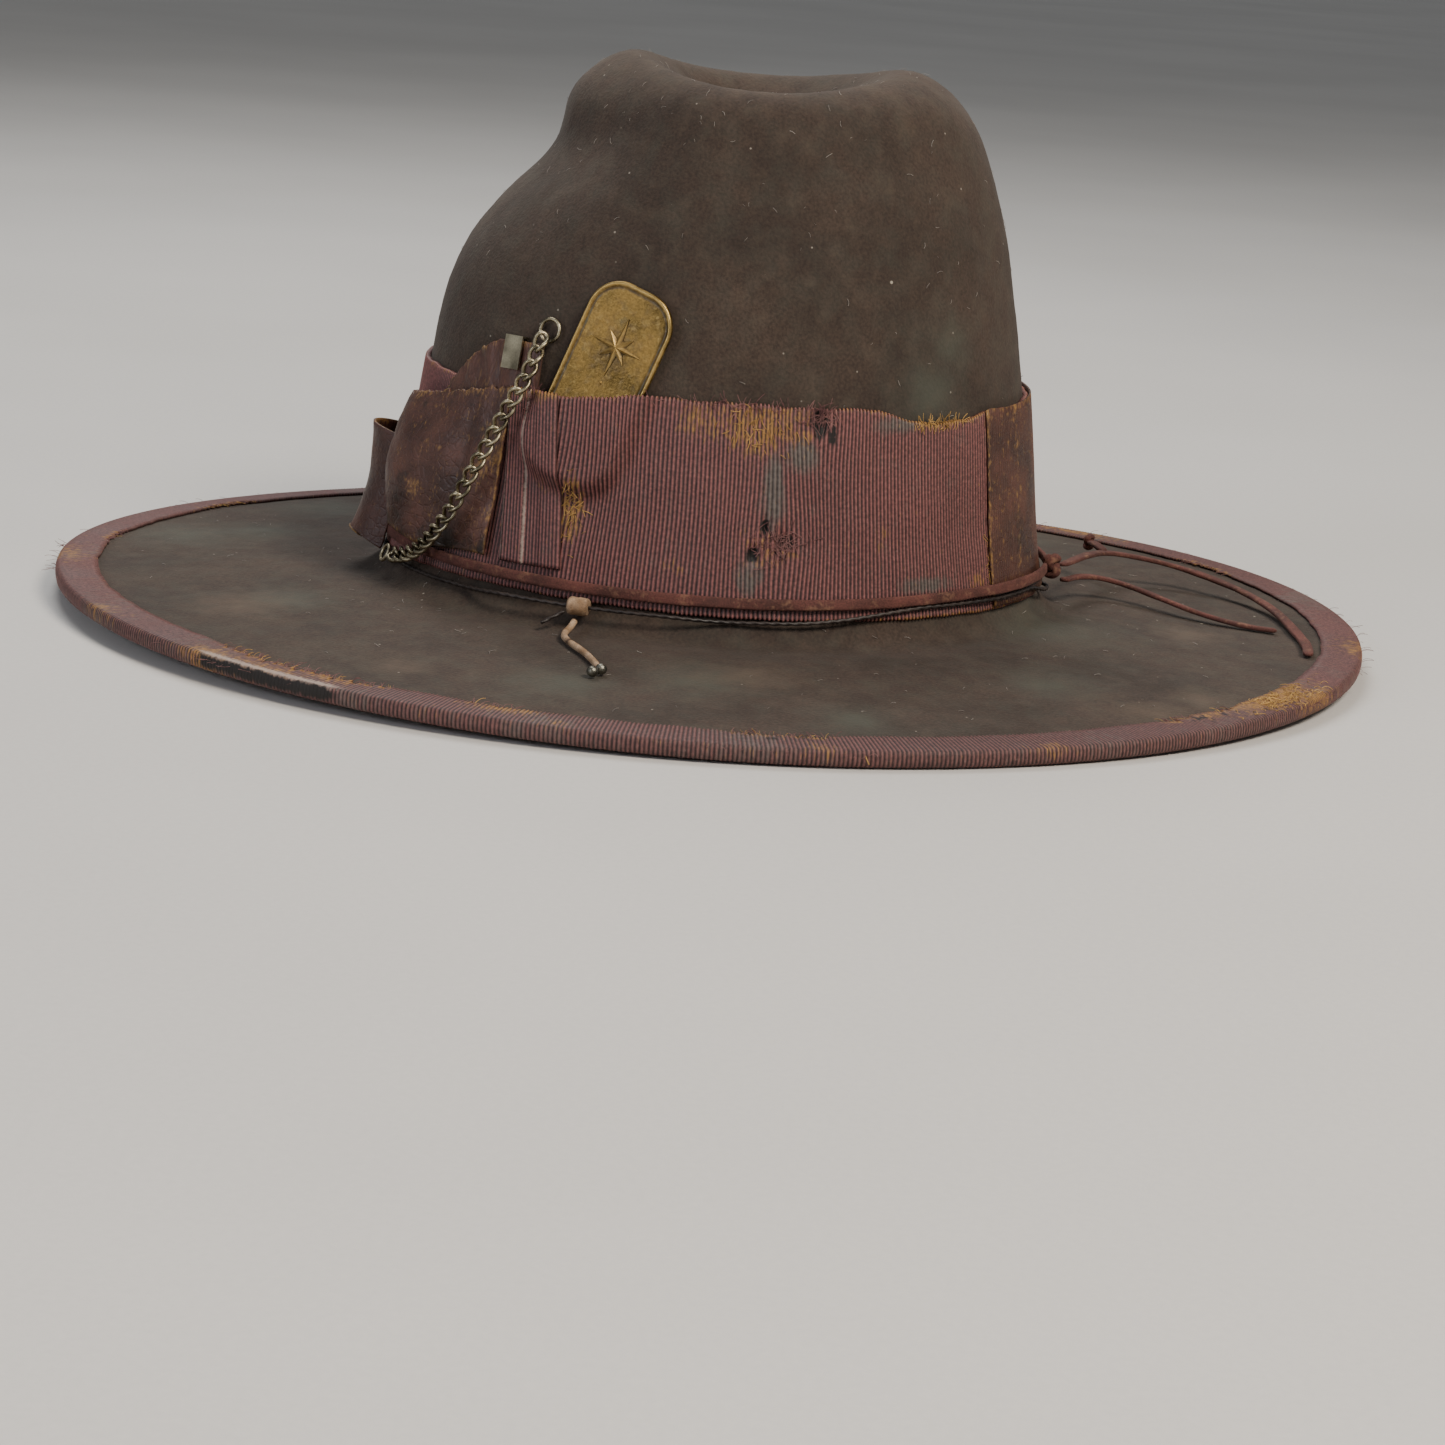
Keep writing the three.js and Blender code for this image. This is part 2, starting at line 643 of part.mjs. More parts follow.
/** Places a piece by a frame on the wall, with a shift in that frame. */
function lay(mesh, frame, x = 0, y = 0, z = 0) {
  const placed = frame.clone().multiply(new THREE.Matrix4().makeTranslation(x, y, z));
  placed.decompose(mesh.position, mesh.quaternion, mesh.scale);
}

// The chain hangs from a ring sewn beside the tag, over the bow, to a ring at its foot:
// [angle, height, stand off the felt].
const CHAIN = [
  [-35.4, 77.9, 5], [-35.4, 72, 7.4], [-36.6, 65, 8.8], [-39, 57.5, 8.8], [-41, 50, 9.2],
  [-42.6, 43, 10.2], [-44.2, 35.5, 11.2], [-46, 28.5, 11.4], [-48.8, 22, 10.6],
  [-52.4, 16.6, 9], [-56.2, 12.8, 7.4], [-60, 10.2, 6.6], [-64.5, 8, 6.2],
];

// ---------------------------------------------------------------- laces and cords

/** Angle across a plateau: 1 between the two ends, falling to 0 over the edge. */
function plateau(angle, from, to, edge) {
  const middle = (from + to) / 2;
  const far = Math.abs(turnBetween(angle, middle)) - (to - from) / 2;
  return 1 - THREE.MathUtils.smoothstep(far, 0, edge);
}

/** Flat leather lace tied round the foot of the band. */
function leatherLace() {
  const from = KNOT.angle + LACE.opening;
  const sections = steps(from, from + 360 - 2 * LACE.opening, 50).map((angle) => {
    const rise = (LAP.cloth + 1) * plateau(angle, LAP.from, LAP.to, 5);
    const stand = GAP + BAND.cloth + 0.3 + rise;
    const corner = (z, out) => wall(angle, LACE.z + z, stand + out);
    const half = LACE.width / 2;
    const bevel = LACE.thick / 3;
    return [
      corner(-half, bevel), corner(-half + bevel, 0), corner(half - bevel, 0),
      corner(half, bevel), corner(half, LACE.thick - bevel), corner(half - bevel, LACE.thick),
      corner(-half + bevel, LACE.thick), corner(-half, LACE.thick - bevel),
    ];
  });
  return loft(sections);
}

// Free tails of the lace: [x, y, height above the brim].
const UPPER_TAIL = [
  [-0.5, 106.6, 12.4], [-10, 110.6, 12.2], [-20, 115, 11.8], [-30, 119.6, 11.2],
  [-38, 124.4, 10.6], [-43, 130, 9.8], [-45.4, 136.6, 8.9], [-45.6, 143.6, 7.9],
  [-43.6, 151, 6.7], [-39, 158.6, 5.4], [-32, 165.4, 4.2], [-22.6, 170.8, 3.2],
  [-11.6, 174.4, 2.5], [0.4, 176.4, 2], [12.4, 177.6, 1.6], [24, 178.4, 1.4],
  [33, 178.2, 1.3], [40.6, 177.2, 1.3],
];
const LOWER_TAIL = [
  [3, 107.2, 8.6], [-3.6, 110, 8], [-9.4, 114, 7.5], [-12.6, 119, 6.9],
  [-12.6, 124.6, 6.2], [-10.4, 130.4, 5.4], [-7, 136, 4.5], [-3, 141.6, 3.6],
  [1.2, 147, 2.8], [5, 152.8, 2.1], [8.4, 159, 1.6], [10.8, 165.4, 1.3],
  [12.2, 172, 1.3],
];

/** Waxed cord looped round the crown at the brim, swinging out to carry the barrel. */
function waxedCord() {
  const points = steps(CORD_PATH.from, CORD_PATH.to, 72).map((angle) => {
    const { angle: middle } = BARREL;
    const swing = plateau(angle, middle - CORD_PATH.reach, middle + CORD_PATH.reach, CORD_PATH.edge);
    const stand = mix(CORD_RADIUS + CORD_PATH.clear, BARREL.stand, swing);
    return wall(angle, mix(CORD_PATH.z, BARREL.z, swing), stand);
  });
  return rope(points, CORD_RADIUS, 66);
}

/** Rolled hide barrel that slides on the waxed cord. */
function cordBarrel() {
  const half = BARREL.length / 2;
  const profile = [
    new THREE.Vector2(BARREL.bore, -half),
    new THREE.Vector2(BARREL.outer - 0.4, -half),
    new THREE.Vector2(BARREL.outer, -half + 0.5),
    new THREE.Vector2(BARREL.outer, half - 0.5),
    new THREE.Vector2(BARREL.outer - 0.4, half),
    new THREE.Vector2(BARREL.bore, half),
    new THREE.Vector2(BARREL.bore, -half),
  ];
  return new THREE.LatheGeometry(profile, 16);
}

// Tail that hangs from the barrel and lies on the brim: [x, y, height above the brim].
const BARREL_TAIL = [
  [86.5, -37.8, 3.7], [88.8, -38.8, 2.5], [92.2, -39.8, 1.8], [96.4, -40, 1.5],
  [100.8, -39, 1.5], [105, -37.2, 1.5], [109.2, -35, 1.5], [113.4, -33, 1.5],
  [117.6, -31.4, 1.5], [121.6, -30, 1.5], [125.2, -29, 1.5],
];
const STUB = [[83.6, -41, 5.3], [84.8, -44, 4.2], [86, -47.2, 2.6]];
const BEADS = [[127.9, -28.2, 2], [130.6, -30.4, 2]];

/** A tied knot: a squat ball with a wrap round it. */
function knot(radius, wrap) {
  const ball = toManifold(new THREE.SphereGeometry(radius, 12, 8));
  const turn = new THREE.TorusGeometry(radius - wrap / 2, wrap, 6, 16);
  return fromManifold(ball.add(toManifold(turn)));
}

// ---------------------------------------------------------------- assembly

add('felt_body', feltBody(), FINISH.felt);
add('brim_binding', brimBinding(), FINISH.grosgrain);
add('sweatband', sweatband(), FINISH.leather);
add('sweatband_reed', sweatbandReed(), FINISH.waxed);
add('sweatband_bow', sweatbandBow(), FINISH.satin);
add('lining_side', liningSide(), FINISH.satin);
add('lining_tip', liningTip(), FINISH.satin);

add('hatband', hatband(), FINISH.grosgrain);
add('band_rear_lap', bandRearLap(), FINISH.worn);
add('bow_puff', bowPuff(), FINISH.worn);
add('bow_tail', bowTail(), FINISH.grosgrain);
add('bow_loop', bowLoop(), FINISH.worn);
add('bow_tab', bowTab(), FINISH.worn);
const clip = add('ribbon_clip', ribbonClip(), FINISH.steel);
const clipFrame = wallFrame(CLIP.angle, CLIP.z, CLIP.stand, 0);
lay(clip, clipFrame.multiply(new THREE.Matrix4().makeBasis(
  new THREE.Vector3(0, 0, 1), new THREE.Vector3(1, 0, 0), new THREE.Vector3(0, 1, 0),
)));

const tagFrame = wallFrame(TAG_PLACE.angle, TAG_PLACE.z, TAG_PLACE.stand, TAG_PLACE.lean);
const tag = add('brass_tag', brassTag(), FINISH.brass);
lay(tag, tagFrame);
const emblem = add('tag_emblem', tagEmblem(), FINISH.brass);
lay(emblem, tagFrame, 0, EMBLEM.up, TAG.plate - TAG.recess + EMBLEM.clear);

add('curb_chain', rope(CHAIN.map((at) => wall(...at)), CHAIN_RADIUS, 30), FINISH.steel);
for (const [name, ring] of [['chain_top_ring', TOP_RING], ['chain_foot_ring', FOOT_RING]]) {
  const torus = new THREE.TorusGeometry(ring.radius, RING_WIRE, 6, 16);
  lay(add(name, torus, FINISH.steel), wallFrame(ring.angle, ring.z, ring.stand, 0));
}

add('leather_lace', leatherLace(), FINISH.leather);
const laceKnot = add('lace_knot', knot(KNOT.radius, KNOT.wrap), FINISH.leather);
laceKnot.position.copy(wall(KNOT.angle, LACE.z, KNOT.stand));
add('lace_tail_upper', flatLace(onBrim(UPPER_TAIL), 30), FINISH.leather);
add('lace_tail_lower', flatLace(onBrim(LOWER_TAIL), 20), FINISH.leather);

add('waxed_cord', waxedCord(), FINISH.waxed);
const barrel = add('cord_barrel', cordBarrel(), FINISH.rawhide);
barrel.position.copy(wall(BARREL.angle, BARREL.z, BARREL.stand));
const ahead = wall(BARREL.angle + 1, BARREL.z, BARREL.stand).sub(barrel.position).normalize();
barrel.quaternion.setFromUnitVectors(new THREE.Vector3(0, 1, 0), ahead);
add('cord_stub', rope(onBrim(STUB), CORD_RADIUS, 4), FINISH.waxed);
add('barrel_tail', rope(onBrim(BARREL_TAIL), 1, 24), FINISH.rawhide);
const bead = () => new THREE.SphereGeometry(BEAD_RADIUS, 10, 8);
const [beadOne, beadTwo] = onBrim(BEADS);
add('tail_bead_1', bead(), FINISH.steel).position.copy(beadOne);
add('tail_bead_2', bead(), FINISH.steel).position.copy(beadTwo);

export default hat;
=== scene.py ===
"""Looks of a worn, wide-brimmed felt pirate hat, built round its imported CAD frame.

Shapes are worked out in millimetres and turned to metres when a mesh is made. +Z runs up
out of the crown, -Y is the front and +X the wearer's left. Angles are in degrees round the
crown: 0 is the wearer's left, 90 the back and -90 the front.
"""

import logging
import math
from dataclasses import dataclass, field, replace
from enum import Enum
from typing import Any, Callable

import bpy
import numpy as np
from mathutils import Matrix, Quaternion, Vector, noise


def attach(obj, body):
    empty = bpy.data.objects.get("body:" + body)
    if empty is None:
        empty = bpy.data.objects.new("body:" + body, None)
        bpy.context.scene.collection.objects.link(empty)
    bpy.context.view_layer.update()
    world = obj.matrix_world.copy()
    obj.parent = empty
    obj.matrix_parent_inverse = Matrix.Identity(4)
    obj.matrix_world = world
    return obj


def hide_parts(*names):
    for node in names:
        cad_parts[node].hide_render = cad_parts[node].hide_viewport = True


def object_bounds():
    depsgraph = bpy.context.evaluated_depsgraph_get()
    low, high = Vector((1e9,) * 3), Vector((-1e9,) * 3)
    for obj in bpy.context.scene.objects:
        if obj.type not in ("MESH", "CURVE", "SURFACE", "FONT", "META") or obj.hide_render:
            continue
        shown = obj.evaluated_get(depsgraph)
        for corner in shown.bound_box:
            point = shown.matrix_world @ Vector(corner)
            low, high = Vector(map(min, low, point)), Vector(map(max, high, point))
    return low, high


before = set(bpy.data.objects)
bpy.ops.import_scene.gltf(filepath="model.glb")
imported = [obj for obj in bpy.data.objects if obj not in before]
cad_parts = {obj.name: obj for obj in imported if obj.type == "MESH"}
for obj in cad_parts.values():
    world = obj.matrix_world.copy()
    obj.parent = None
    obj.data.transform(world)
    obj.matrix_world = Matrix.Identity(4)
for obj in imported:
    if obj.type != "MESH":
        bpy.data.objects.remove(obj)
CAD_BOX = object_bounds()

log = logging.getLogger("pirate_hat")

MM = 0.001
HAT, TAG, CHAIN, BARREL, TAIL = "hat", "tag", "chain", "barrel", "tail"


# ------------------------------------------------------------------ small mathematics


def bump(x: np.ndarray | float) -> np.ndarray | float:
    """A bell of height 1 at x = 0."""
    return np.exp(-0.5 * np.square(x))


def smoothstep(x: np.ndarray | float, low: float, high: float) -> np.ndarray | float:
    """0 below low, 1 above high and a smooth rise between them."""
    share = np.clip((np.asarray(x, float) - low) / (high - low), 0, 1)
    return share * share * (3 - 2 * share)


def turn_between(a: np.ndarray | float, b: float) -> np.ndarray | float:
    """Signed difference between two angles, from -180 to 180 degrees."""
    return (np.asarray(a, float) - b + 180) % 360 - 180


def unit(vectors: np.ndarray) -> np.ndarray:
    """Vectors of length 1, along the last axis."""
    return vectors / np.maximum(np.linalg.norm(vectors, axis=-1, keepdims=True), 1e-12)


def natural_spline(at: np.ndarray, value: np.ndarray) -> Callable[[np.ndarray], np.ndarray]:
    """The natural cubic spline through knots.

    Args:
        at: rising places of the knots.
        value: their values, one number or one row each.

    Returns:
        A function of the place.
    """
    count, span = len(at), np.diff(at)
    system = np.eye(count)
    load = np.zeros((count, *np.shape(value)[1:]))
    for i in range(1, count - 1):
        system[i, i - 1 : i + 2] = span[i - 1], 2 * (span[i - 1] + span[i]), span[i]
        load[i] = 6 * (
            (value[i + 1] - value[i]) / span[i] - (value[i] - value[i - 1]) / span[i - 1]
        )
    bend = np.linalg.solve(system, load)

    def curve(x: np.ndarray) -> np.ndarray:
        """The spline's value at x."""
        x = np.asarray(x, float)
        i = np.clip(np.searchsorted(at, x) - 1, 0, count - 2)
        a, b, h = (at[i + 1] - x) / span[i], (x - at[i]) / span[i], span[i]
        if np.ndim(value) > 1:
            a, b, h = a[..., None], b[..., None], h[..., None]
        curl = ((a**3 - a) * bend[i] + (b**3 - b) * bend[i + 1]) * h * h / 6
        return a * value[i] + b * value[i + 1] + curl

    return curve


def smooth_path(points: list, count: int) -> np.ndarray:
    """Even steps along a smooth line.

    Args:
        points: places that the line goes through.
        count: how many points to give back.

    Returns:
        The points, count rows of three.
    """
    points = np.asarray(points, float)
    chord = np.concatenate([[0], np.cumsum(np.linalg.norm(np.diff(points, axis=0), axis=1))])
    line = natural_spline(chord, points)(np.linspace(0, chord[-1], count * 6))
    along = np.concatenate([[0], np.cumsum(np.linalg.norm(np.diff(line, axis=0), axis=1))])
    even = np.linspace(0, along[-1], count)
    return np.stack([np.interp(even, along, line[:, k]) for k in range(3)], axis=-1)


def roughness_of(points: np.ndarray, size: float, layers: int = 3) -> np.ndarray:
    """Cloudy noise, about -1 to 1, at points in mm.

    Args:
        points: an array whose last axis is x, y and z.
        size: the size of a cloud, in mm.
        layers: how many finer layers lie on the first.

    Returns:
        The noise, shaped as points without its last axis.
    """
    flat = points.reshape(-1, 3) / size
    made = [noise.fractal(Vector(p), 1.0, 2.0, layers) for p in flat.tolist()]
    return np.array(made).reshape(points.shape[:-1])


# ------------------------------------------------------------------ the felt's surface


class FeltSkin:
    """The felt's outer skin as a formula: egg-shaped rings from the brim's edge to the crease."""

    thickness = 2.4
    break_row = 4
    wall_top_row = 10
    # half width, front reach, back reach, height at the side, front and back, taper
    rows = np.array([
        [180.6, 196.6, 196.6, -4.0, -4.0, -4.0, 0],
        [152.0, 167.0, 167.0, -2.5, -2.5, -2.5, 0],
        [122.0, 137.0, 137.0, -1.0, -1.0, -1.0, 0],
        [98.0, 113.0, 113.0, 0.1, 0.1, 0.1, 0],
        [88.6, 103.6, 103.6, 1.2, 1.2, 1.2, 0],
        [84.6, 99.4, 99.4, 5.2, 5.2, 5.2, 0],
        [82.8, 97.4, 97.0, 12.0, 12.0, 12.0, 0],
        [79.6, 93.6, 93.6, 33.0, 33.0, 33.0, 0],
        [75.8, 89.2, 90.0, 62.0, 62.0, 62.0, 0],
        [72.2, 85.6, 86.2, 84.0, 84.0, 84.0, 0],
        [69.0, 80.0, 83.2, 100.0, 100.0, 100.0, 0],
        [62.5, 66.8, 77.6, 122.0, 118.0, 122.0, 0.02],
        [57.0, 55.5, 71.0, 139.0, 133.0, 139.0, 0.04],
        [51.0, 50.5, 60.5, 149.5, 148.0, 152.5, 0.06],
        [42.5, 36.5, 48.0, 152.6, 158.0, 157.9, 0.08],
        [33.0, 25.0, 38.0, 147.5, 155.0, 154.0, 0.1],
        [22.0, 15.0, 26.0, 136.0, 143.0, 143.5, 0.1],
        [11.0, 7.5, 13.0, 127.8, 131.0, 132.0, 0.05],
        [0, 0, 0, 126.0, 126.0, 126.0, 0],
    ])
    pinch = {"angle": -48, "spread": 20, "row": 12, "reach": 19, "depth": 5.2}
    dip = {"angle": 24, "spread": 28, "row": 14, "reach": 20, "depth": 1.8}
    wave_cos, wave_sin = -1.56, -1.29
    hold_length = 12

    def __init__(self) -> None:
        """Lays the rows out along a mean profile."""
        across = np.diff(self.rows[:, 0])
        rise = np.diff(self.rows[:, 3] + self.rows[:, 4]) / 2
        self.station = np.concatenate([[0], np.cumsum(np.hypot(across, rise))])
        self.pole = self.station[-1]
        self._spline = natural_spline(self.station, self.rows)

    def point(self, angle: np.ndarray, along: np.ndarray) -> np.ndarray:
        """Points of the skin.

        Args:
            angle: degrees round the crown.
            along: distance along the rows, in mm.

        Returns:
            The points in mm, with x, y and z on the last axis.
        """
        angle, along = np.broadcast_arrays(np.asarray(angle, float), np.asarray(along, float))
        c, s = np.cos(np.radians(angle)), np.sin(np.radians(angle))
        half, front, back, z_side, z_front, z_back, taper = np.moveaxis(self._spline(along), -1, 0)
        x = half * (1 + taper * s) * c
        y = ((back + front) / 2 + (back - front) / 2 * s) * s
        z = z_side + (z_back - z_front) / 2 * s + ((z_back + z_front) / 2 - z_side) * s * s
        outward = np.clip(1 - along / self.station[self.break_row], 0, 1)
        double = np.radians(2 * angle)
        z = z + outward**2 * (self.wave_cos * np.cos(double) + self.wave_sin * np.sin(double))
        hold = np.minimum(1, (self.pole - along) / self.hold_length)
        for side in (self.pinch["angle"], 180 - self.pinch["angle"]):
            near = bump(turn_between(angle, side) / self.pinch["spread"])
            reach = (along - self.station[self.pinch["row"]]) / self.pinch["reach"]
            push = hold * self.pinch["depth"] * near * bump(reach)
            x, y = x - push * c, y - push * s
        for side in (self.dip["angle"], 180 - self.dip["angle"]):
            near = bump(turn_between(angle, side) / self.dip["spread"])
            reach = (along - self.station[self.dip["row"]]) / self.dip["reach"]
            z = z - hold * self.dip["depth"] * near * bump(reach)
        return np.stack([x, y, z], axis=-1)

    def normal(self, angle: np.ndarray, along: np.ndarray) -> np.ndarray:
        """Outward directions at places of the skin."""
        small = 0.05
        along = np.minimum(np.asarray(along, float), self.pole - 2 * small)
        low = np.maximum(0, along - small)
        turn = self.point(angle + small, along) - self.point(angle - small, along)
        rise = self.point(angle, along + small) - self.point(angle, low)
        return unit(np.cross(turn, rise))

    def offset(self, angle: np.ndarray, along: np.ndarray, stand: np.ndarray) -> np.ndarray:
        """Points standing off the skin along its own normal."""
        stand = np.asarray(stand, float)
        return self.point(angle, along) + self.normal(angle, along) * stand[..., None]

    def along_wall(self, z: np.ndarray) -> np.ndarray:
        """Where along the rows the crown's wall stands at height z."""
        low, high = self.station[self.break_row], self.station[self.wall_top_row]
        places = np.linspace(low, high, 400)
        heights = self._spline(places)[:, 3]
        return np.interp(z, heights, places)

    def wall(self, angle: np.ndarray, z: np.ndarray, stand: np.ndarray) -> np.ndarray:
        """Points standing off the crown's wall at an angle and height."""
        angle, z, stand = np.broadcast_arrays(
            np.asarray(angle, float), np.asarray(z, float), np.asarray(stand, float)
        )
        return self.offset(angle, self.along_wall(z), stand)

    def brim_height(self, x: float, y: float) -> float:
        """Height of the brim's upper face over a point of the plan."""
        angle = math.degrees(math.atan2(y / BRIM_HALF[1], x / BRIM_HALF[0]))
        places = np.linspace(0, self.station[self.break_row], 200)
        ring = self.point(angle, places)
        reach = np.hypot(ring[:, 0], ring[:, 1])
        return float(np.interp(-math.hypot(x, y), -reach, ring[:, 2]))

    def on_brim(self, route: list) -> np.ndarray:
        """Points given as x, y and height above the brim, in mm."""
        return np.array([[x, y, self.brim_height(x, y) + lift] for x, y, lift in route])


BRIM_HALF = (182, 198)
SKIN = FeltSkin()


@dataclass(frozen=True)
class WallFrame:
    """Axes of a flat thing laid on the wall: across, along (leaning) and outwards."""

    angle: float
    z: float
    stand: float
    lean: float = 0

    def axes(self) -> np.ndarray:
        """The three axes as rows."""
        low = SKIN.wall(self.angle, self.z, 0.0)
        out = unit(SKIN.wall(self.angle, self.z, 1.0) - low)
        across = unit(np.cross([0, 0, 1], out))
        along = np.cross(out, across)
        c, s = math.cos(math.radians(-self.lean)), math.sin(math.radians(-self.lean))
        return np.array([c * across + s * along, c * along - s * across, out])

    def place(self, points: np.ndarray) -> np.ndarray:
        """Points of the frame in the hat's own axes, in mm."""
        return SKIN.wall(self.angle, self.z, self.stand) + np.asarray(points) @ self.axes()

    def local(self, points: np.ndarray) -> np.ndarray:
        """Points of the hat in this frame, in mm."""
        return (points - SKIN.wall(self.angle, self.z, self.stand)) @ self.axes().T


# ------------------------------------------------------------------ nodes and finishes


def add_node(tree: Any, kind: str, links: dict | None = None, **settings: Any) -> Any:
    """Adds a node to a shader or geometry tree.

    Args:
        tree: the node tree.
        kind: the node's type name.
        links: input names or numbers, each with a socket to link or a value to set.
        settings: the node's own properties.

    Returns:
        The node.
    """
    made = tree.nodes.new(kind)
    for name, value in settings.items():
        setattr(made, name, value)
    for name, value in (links or {}).items():
        if isinstance(value, bpy.types.NodeSocket):
            tree.links.new(value, made.inputs[name])
        else:
            made.inputs[name].default_value = value
    return made


def linear(code: str) -> tuple[float, float, float, float]:
    """An sRGB hex colour as linear red, green, blue and alpha."""
    parts = [int(code[i : i + 2], 16) / 255 for i in (1, 3, 5)]
    return (*(p / 12.92 if p <= 0.04045 else ((p + 0.055) / 1.055) ** 2.4 for p in parts), 1.0)


class Guide(Enum):
    """What a pattern follows: the object's own axes, or the cloth's lay."""

    OBJECT = "object"
    CLOTH = "cloth"


@dataclass(frozen=True)
class Mark:
    """A colour that an attribute of the mesh brings in, broken up like wear."""

    attribute: str
    colour: str
    broken_mm: float = 1.5
    soft: float = 0.25
    share: float = 1.0
    broken: float = 1.2
    stretch: tuple[float, float, float] = (1, 1, 1)


@dataclass(frozen=True)
class Flecks:
    """Scattered specks, such as lint."""

    colour: str
    gap_mm: float
    size: float
    kept: float


@dataclass(frozen=True)
class Finish:
    """A real material's look: two tones in clouds, a grain, marks and gloss."""

    name: str
    dark: str
    light: str
    cloud_mm: float
    grain_mm: float
    grain_depth_mm: float
    grain_tone: float = 0.3
    stretch: tuple[float, float, float] = (1, 1, 1)
    guide: Guide = Guide.OBJECT
    cells_mm: float = 0
    rough: tuple[float, float] = (0.8, 0.95)
    metallic: float = 0
    dull: tuple[str, ...] = ()
    sheen: float = 0
    sheen_tint: str = "#ffffff"
    marks: tuple[Mark, ...] = ()
    flecks: tuple[Flecks, ...] = ()

    def material(self) -> bpy.types.Material:
        """The finish as a material, made once."""
        known = bpy.data.materials.get(self.name)
        if known:
            return known
        material = bpy.data.materials.new(self.name)
        material.use_nodes = True
        material.node_tree.nodes.clear()
        self._grow(material.node_tree)
        material.diffuse_color = linear(self.light)
        return material

    def _grow(self, tree: Any) -> None:
        """Builds the node tree."""
        place = self._place(tree)
        clouds = self._noise(tree, place, self.cloud_mm, 4)
        grain = self._noise(tree, self._stretched(tree, place, self.stretch), self.grain_mm, 3)
        colour = self._mixed(tree, self._ranged(tree, clouds, 0.35, 0.65, 0, 1), self.dark, self.light)
        shade = self._ranged(tree, grain, 0.3, 0.7, 1 - self.grain_tone, 1 + self.grain_tone)
        tint = add_node(tree, "ShaderNodeVectorMath", {0: colour, 1: shade}, operation="MULTIPLY")
        colour, metal = tint.outputs[0], self.metallic
        for fleck in self.flecks:
            colour = self._mixed(tree, self._fleck(tree, place, fleck), colour, fleck.colour)
        for mark in self.marks:
            there = self._marked(tree, place, mark)
            colour = self._mixed(tree, there, colour, mark.colour)
            if mark.attribute in self.dull:
                dulled = {0: there, 1: -self.metallic, 2: metal}
                metal = add_node(
                    tree, "ShaderNodeMath", dulled, operation="MULTIPLY_ADD", use_clamp=True
                ).outputs[0]
        rough = self._ranged(tree, clouds, 0.3, 0.7, *self.rough)
        shader = add_node(tree, "ShaderNodeBsdfPrincipled", {
            "Base Color": colour,
            "Roughness": rough,
            "Metallic": metal,
            "Sheen Weight": self.sheen,
            "Sheen Roughness": 0.5,
            "Sheen Tint": linear(self.sheen_tint),
            "Normal": self._relief(tree, place, grain),
        })
        add_node(tree, "ShaderNodeOutputMaterial", {"Surface": shader.outputs[0]})

    def _place(self, tree: Any) -> Any:
        """The socket that gives where a point is, in metres."""
        if self.guide is Guide.CLOTH:
            cloth = add_node(tree, "ShaderNodeAttribute", attribute_name="cloth")
            return cloth.outputs["Vector"]
        return add_node(tree, "ShaderNodeTexCoord").outputs["Object"]

    def _stretched(self, tree: Any, place: Any, stretch: tuple) -> Any:
        """The place, drawn out for a pattern that isn't round."""
        links = {"Vector": place, "Scale": stretch}
        return add_node(tree, "ShaderNodeMapping", links).outputs[0]

    def _noise(self, tree: Any, place: Any, size_mm: float, detail: float) -> Any:
        """Cloudy noise of a real size."""
        links = {"Vector": place, "Scale": 1 / (size_mm * MM), "Detail": detail}
        return add_node(tree, "ShaderNodeTexNoise", links).outputs[0]

    def _ranged(self, tree: Any, value: Any, a: float, b: float, c: float, d: float) -> Any:
        """A value stretched from a..b to c..d."""
        links = {0: value, 1: a, 2: b, 3: c, 4: d}
        return add_node(tree, "ShaderNodeMapRange", links).outputs[0]

    def _mixed(self, tree: Any, share: Any, low: Any, high: Any) -> Any:
        """Two colours, mixed by a share."""
        tones = [linear(x) if isinstance(x, str) else x for x in (low, high)]
        links = {0: share, 6: tones[0], 7: tones[1]}
        return add_node(tree, "ShaderNodeMix", links, data_type="RGBA").outputs[2]

    def _fleck(self, tree: Any, place: Any, fleck: Flecks) -> Any:
        """1 on a speck, 0 off it."""
        links = {"Vector": place, "Scale": 1 / (fleck.gap_mm * MM)}
        cells = add_node(tree, "ShaderNodeTexVoronoi", links)
        near = self._ranged(tree, cells.outputs["Distance"], fleck.size * 0.7, fleck.size, 1, 0)
        pick = self._ranged(tree, cells.outputs["Color"], fleck.kept, fleck.kept - 0.02, 0, 1)
        return add_node(
            tree, "ShaderNodeMath", {0: near, 1: pick}, operation="MULTIPLY"
        ).outputs[0]

    def _marked(self, tree: Any, place: Any, mark: Mark) -> Any:
        """How much of a mark shows: its attribute, broken by noise."""
        there = add_node(tree, "ShaderNodeAttribute", attribute_name=mark.attribute)
        drawn = self._stretched(tree, place, mark.stretch)
        broken = self._noise(tree, drawn, mark.broken_mm, 3)
        both = {0: broken, 1: mark.broken, 2: there.outputs["Fac"]}
        total = add_node(tree, "ShaderNodeMath", both, operation="MULTIPLY_ADD").outputs[0]
        middle = 0.5 + 0.5 * mark.broken
        return self._ranged(tree, total, middle - mark.soft, middle + mark.soft, 0, mark.share)

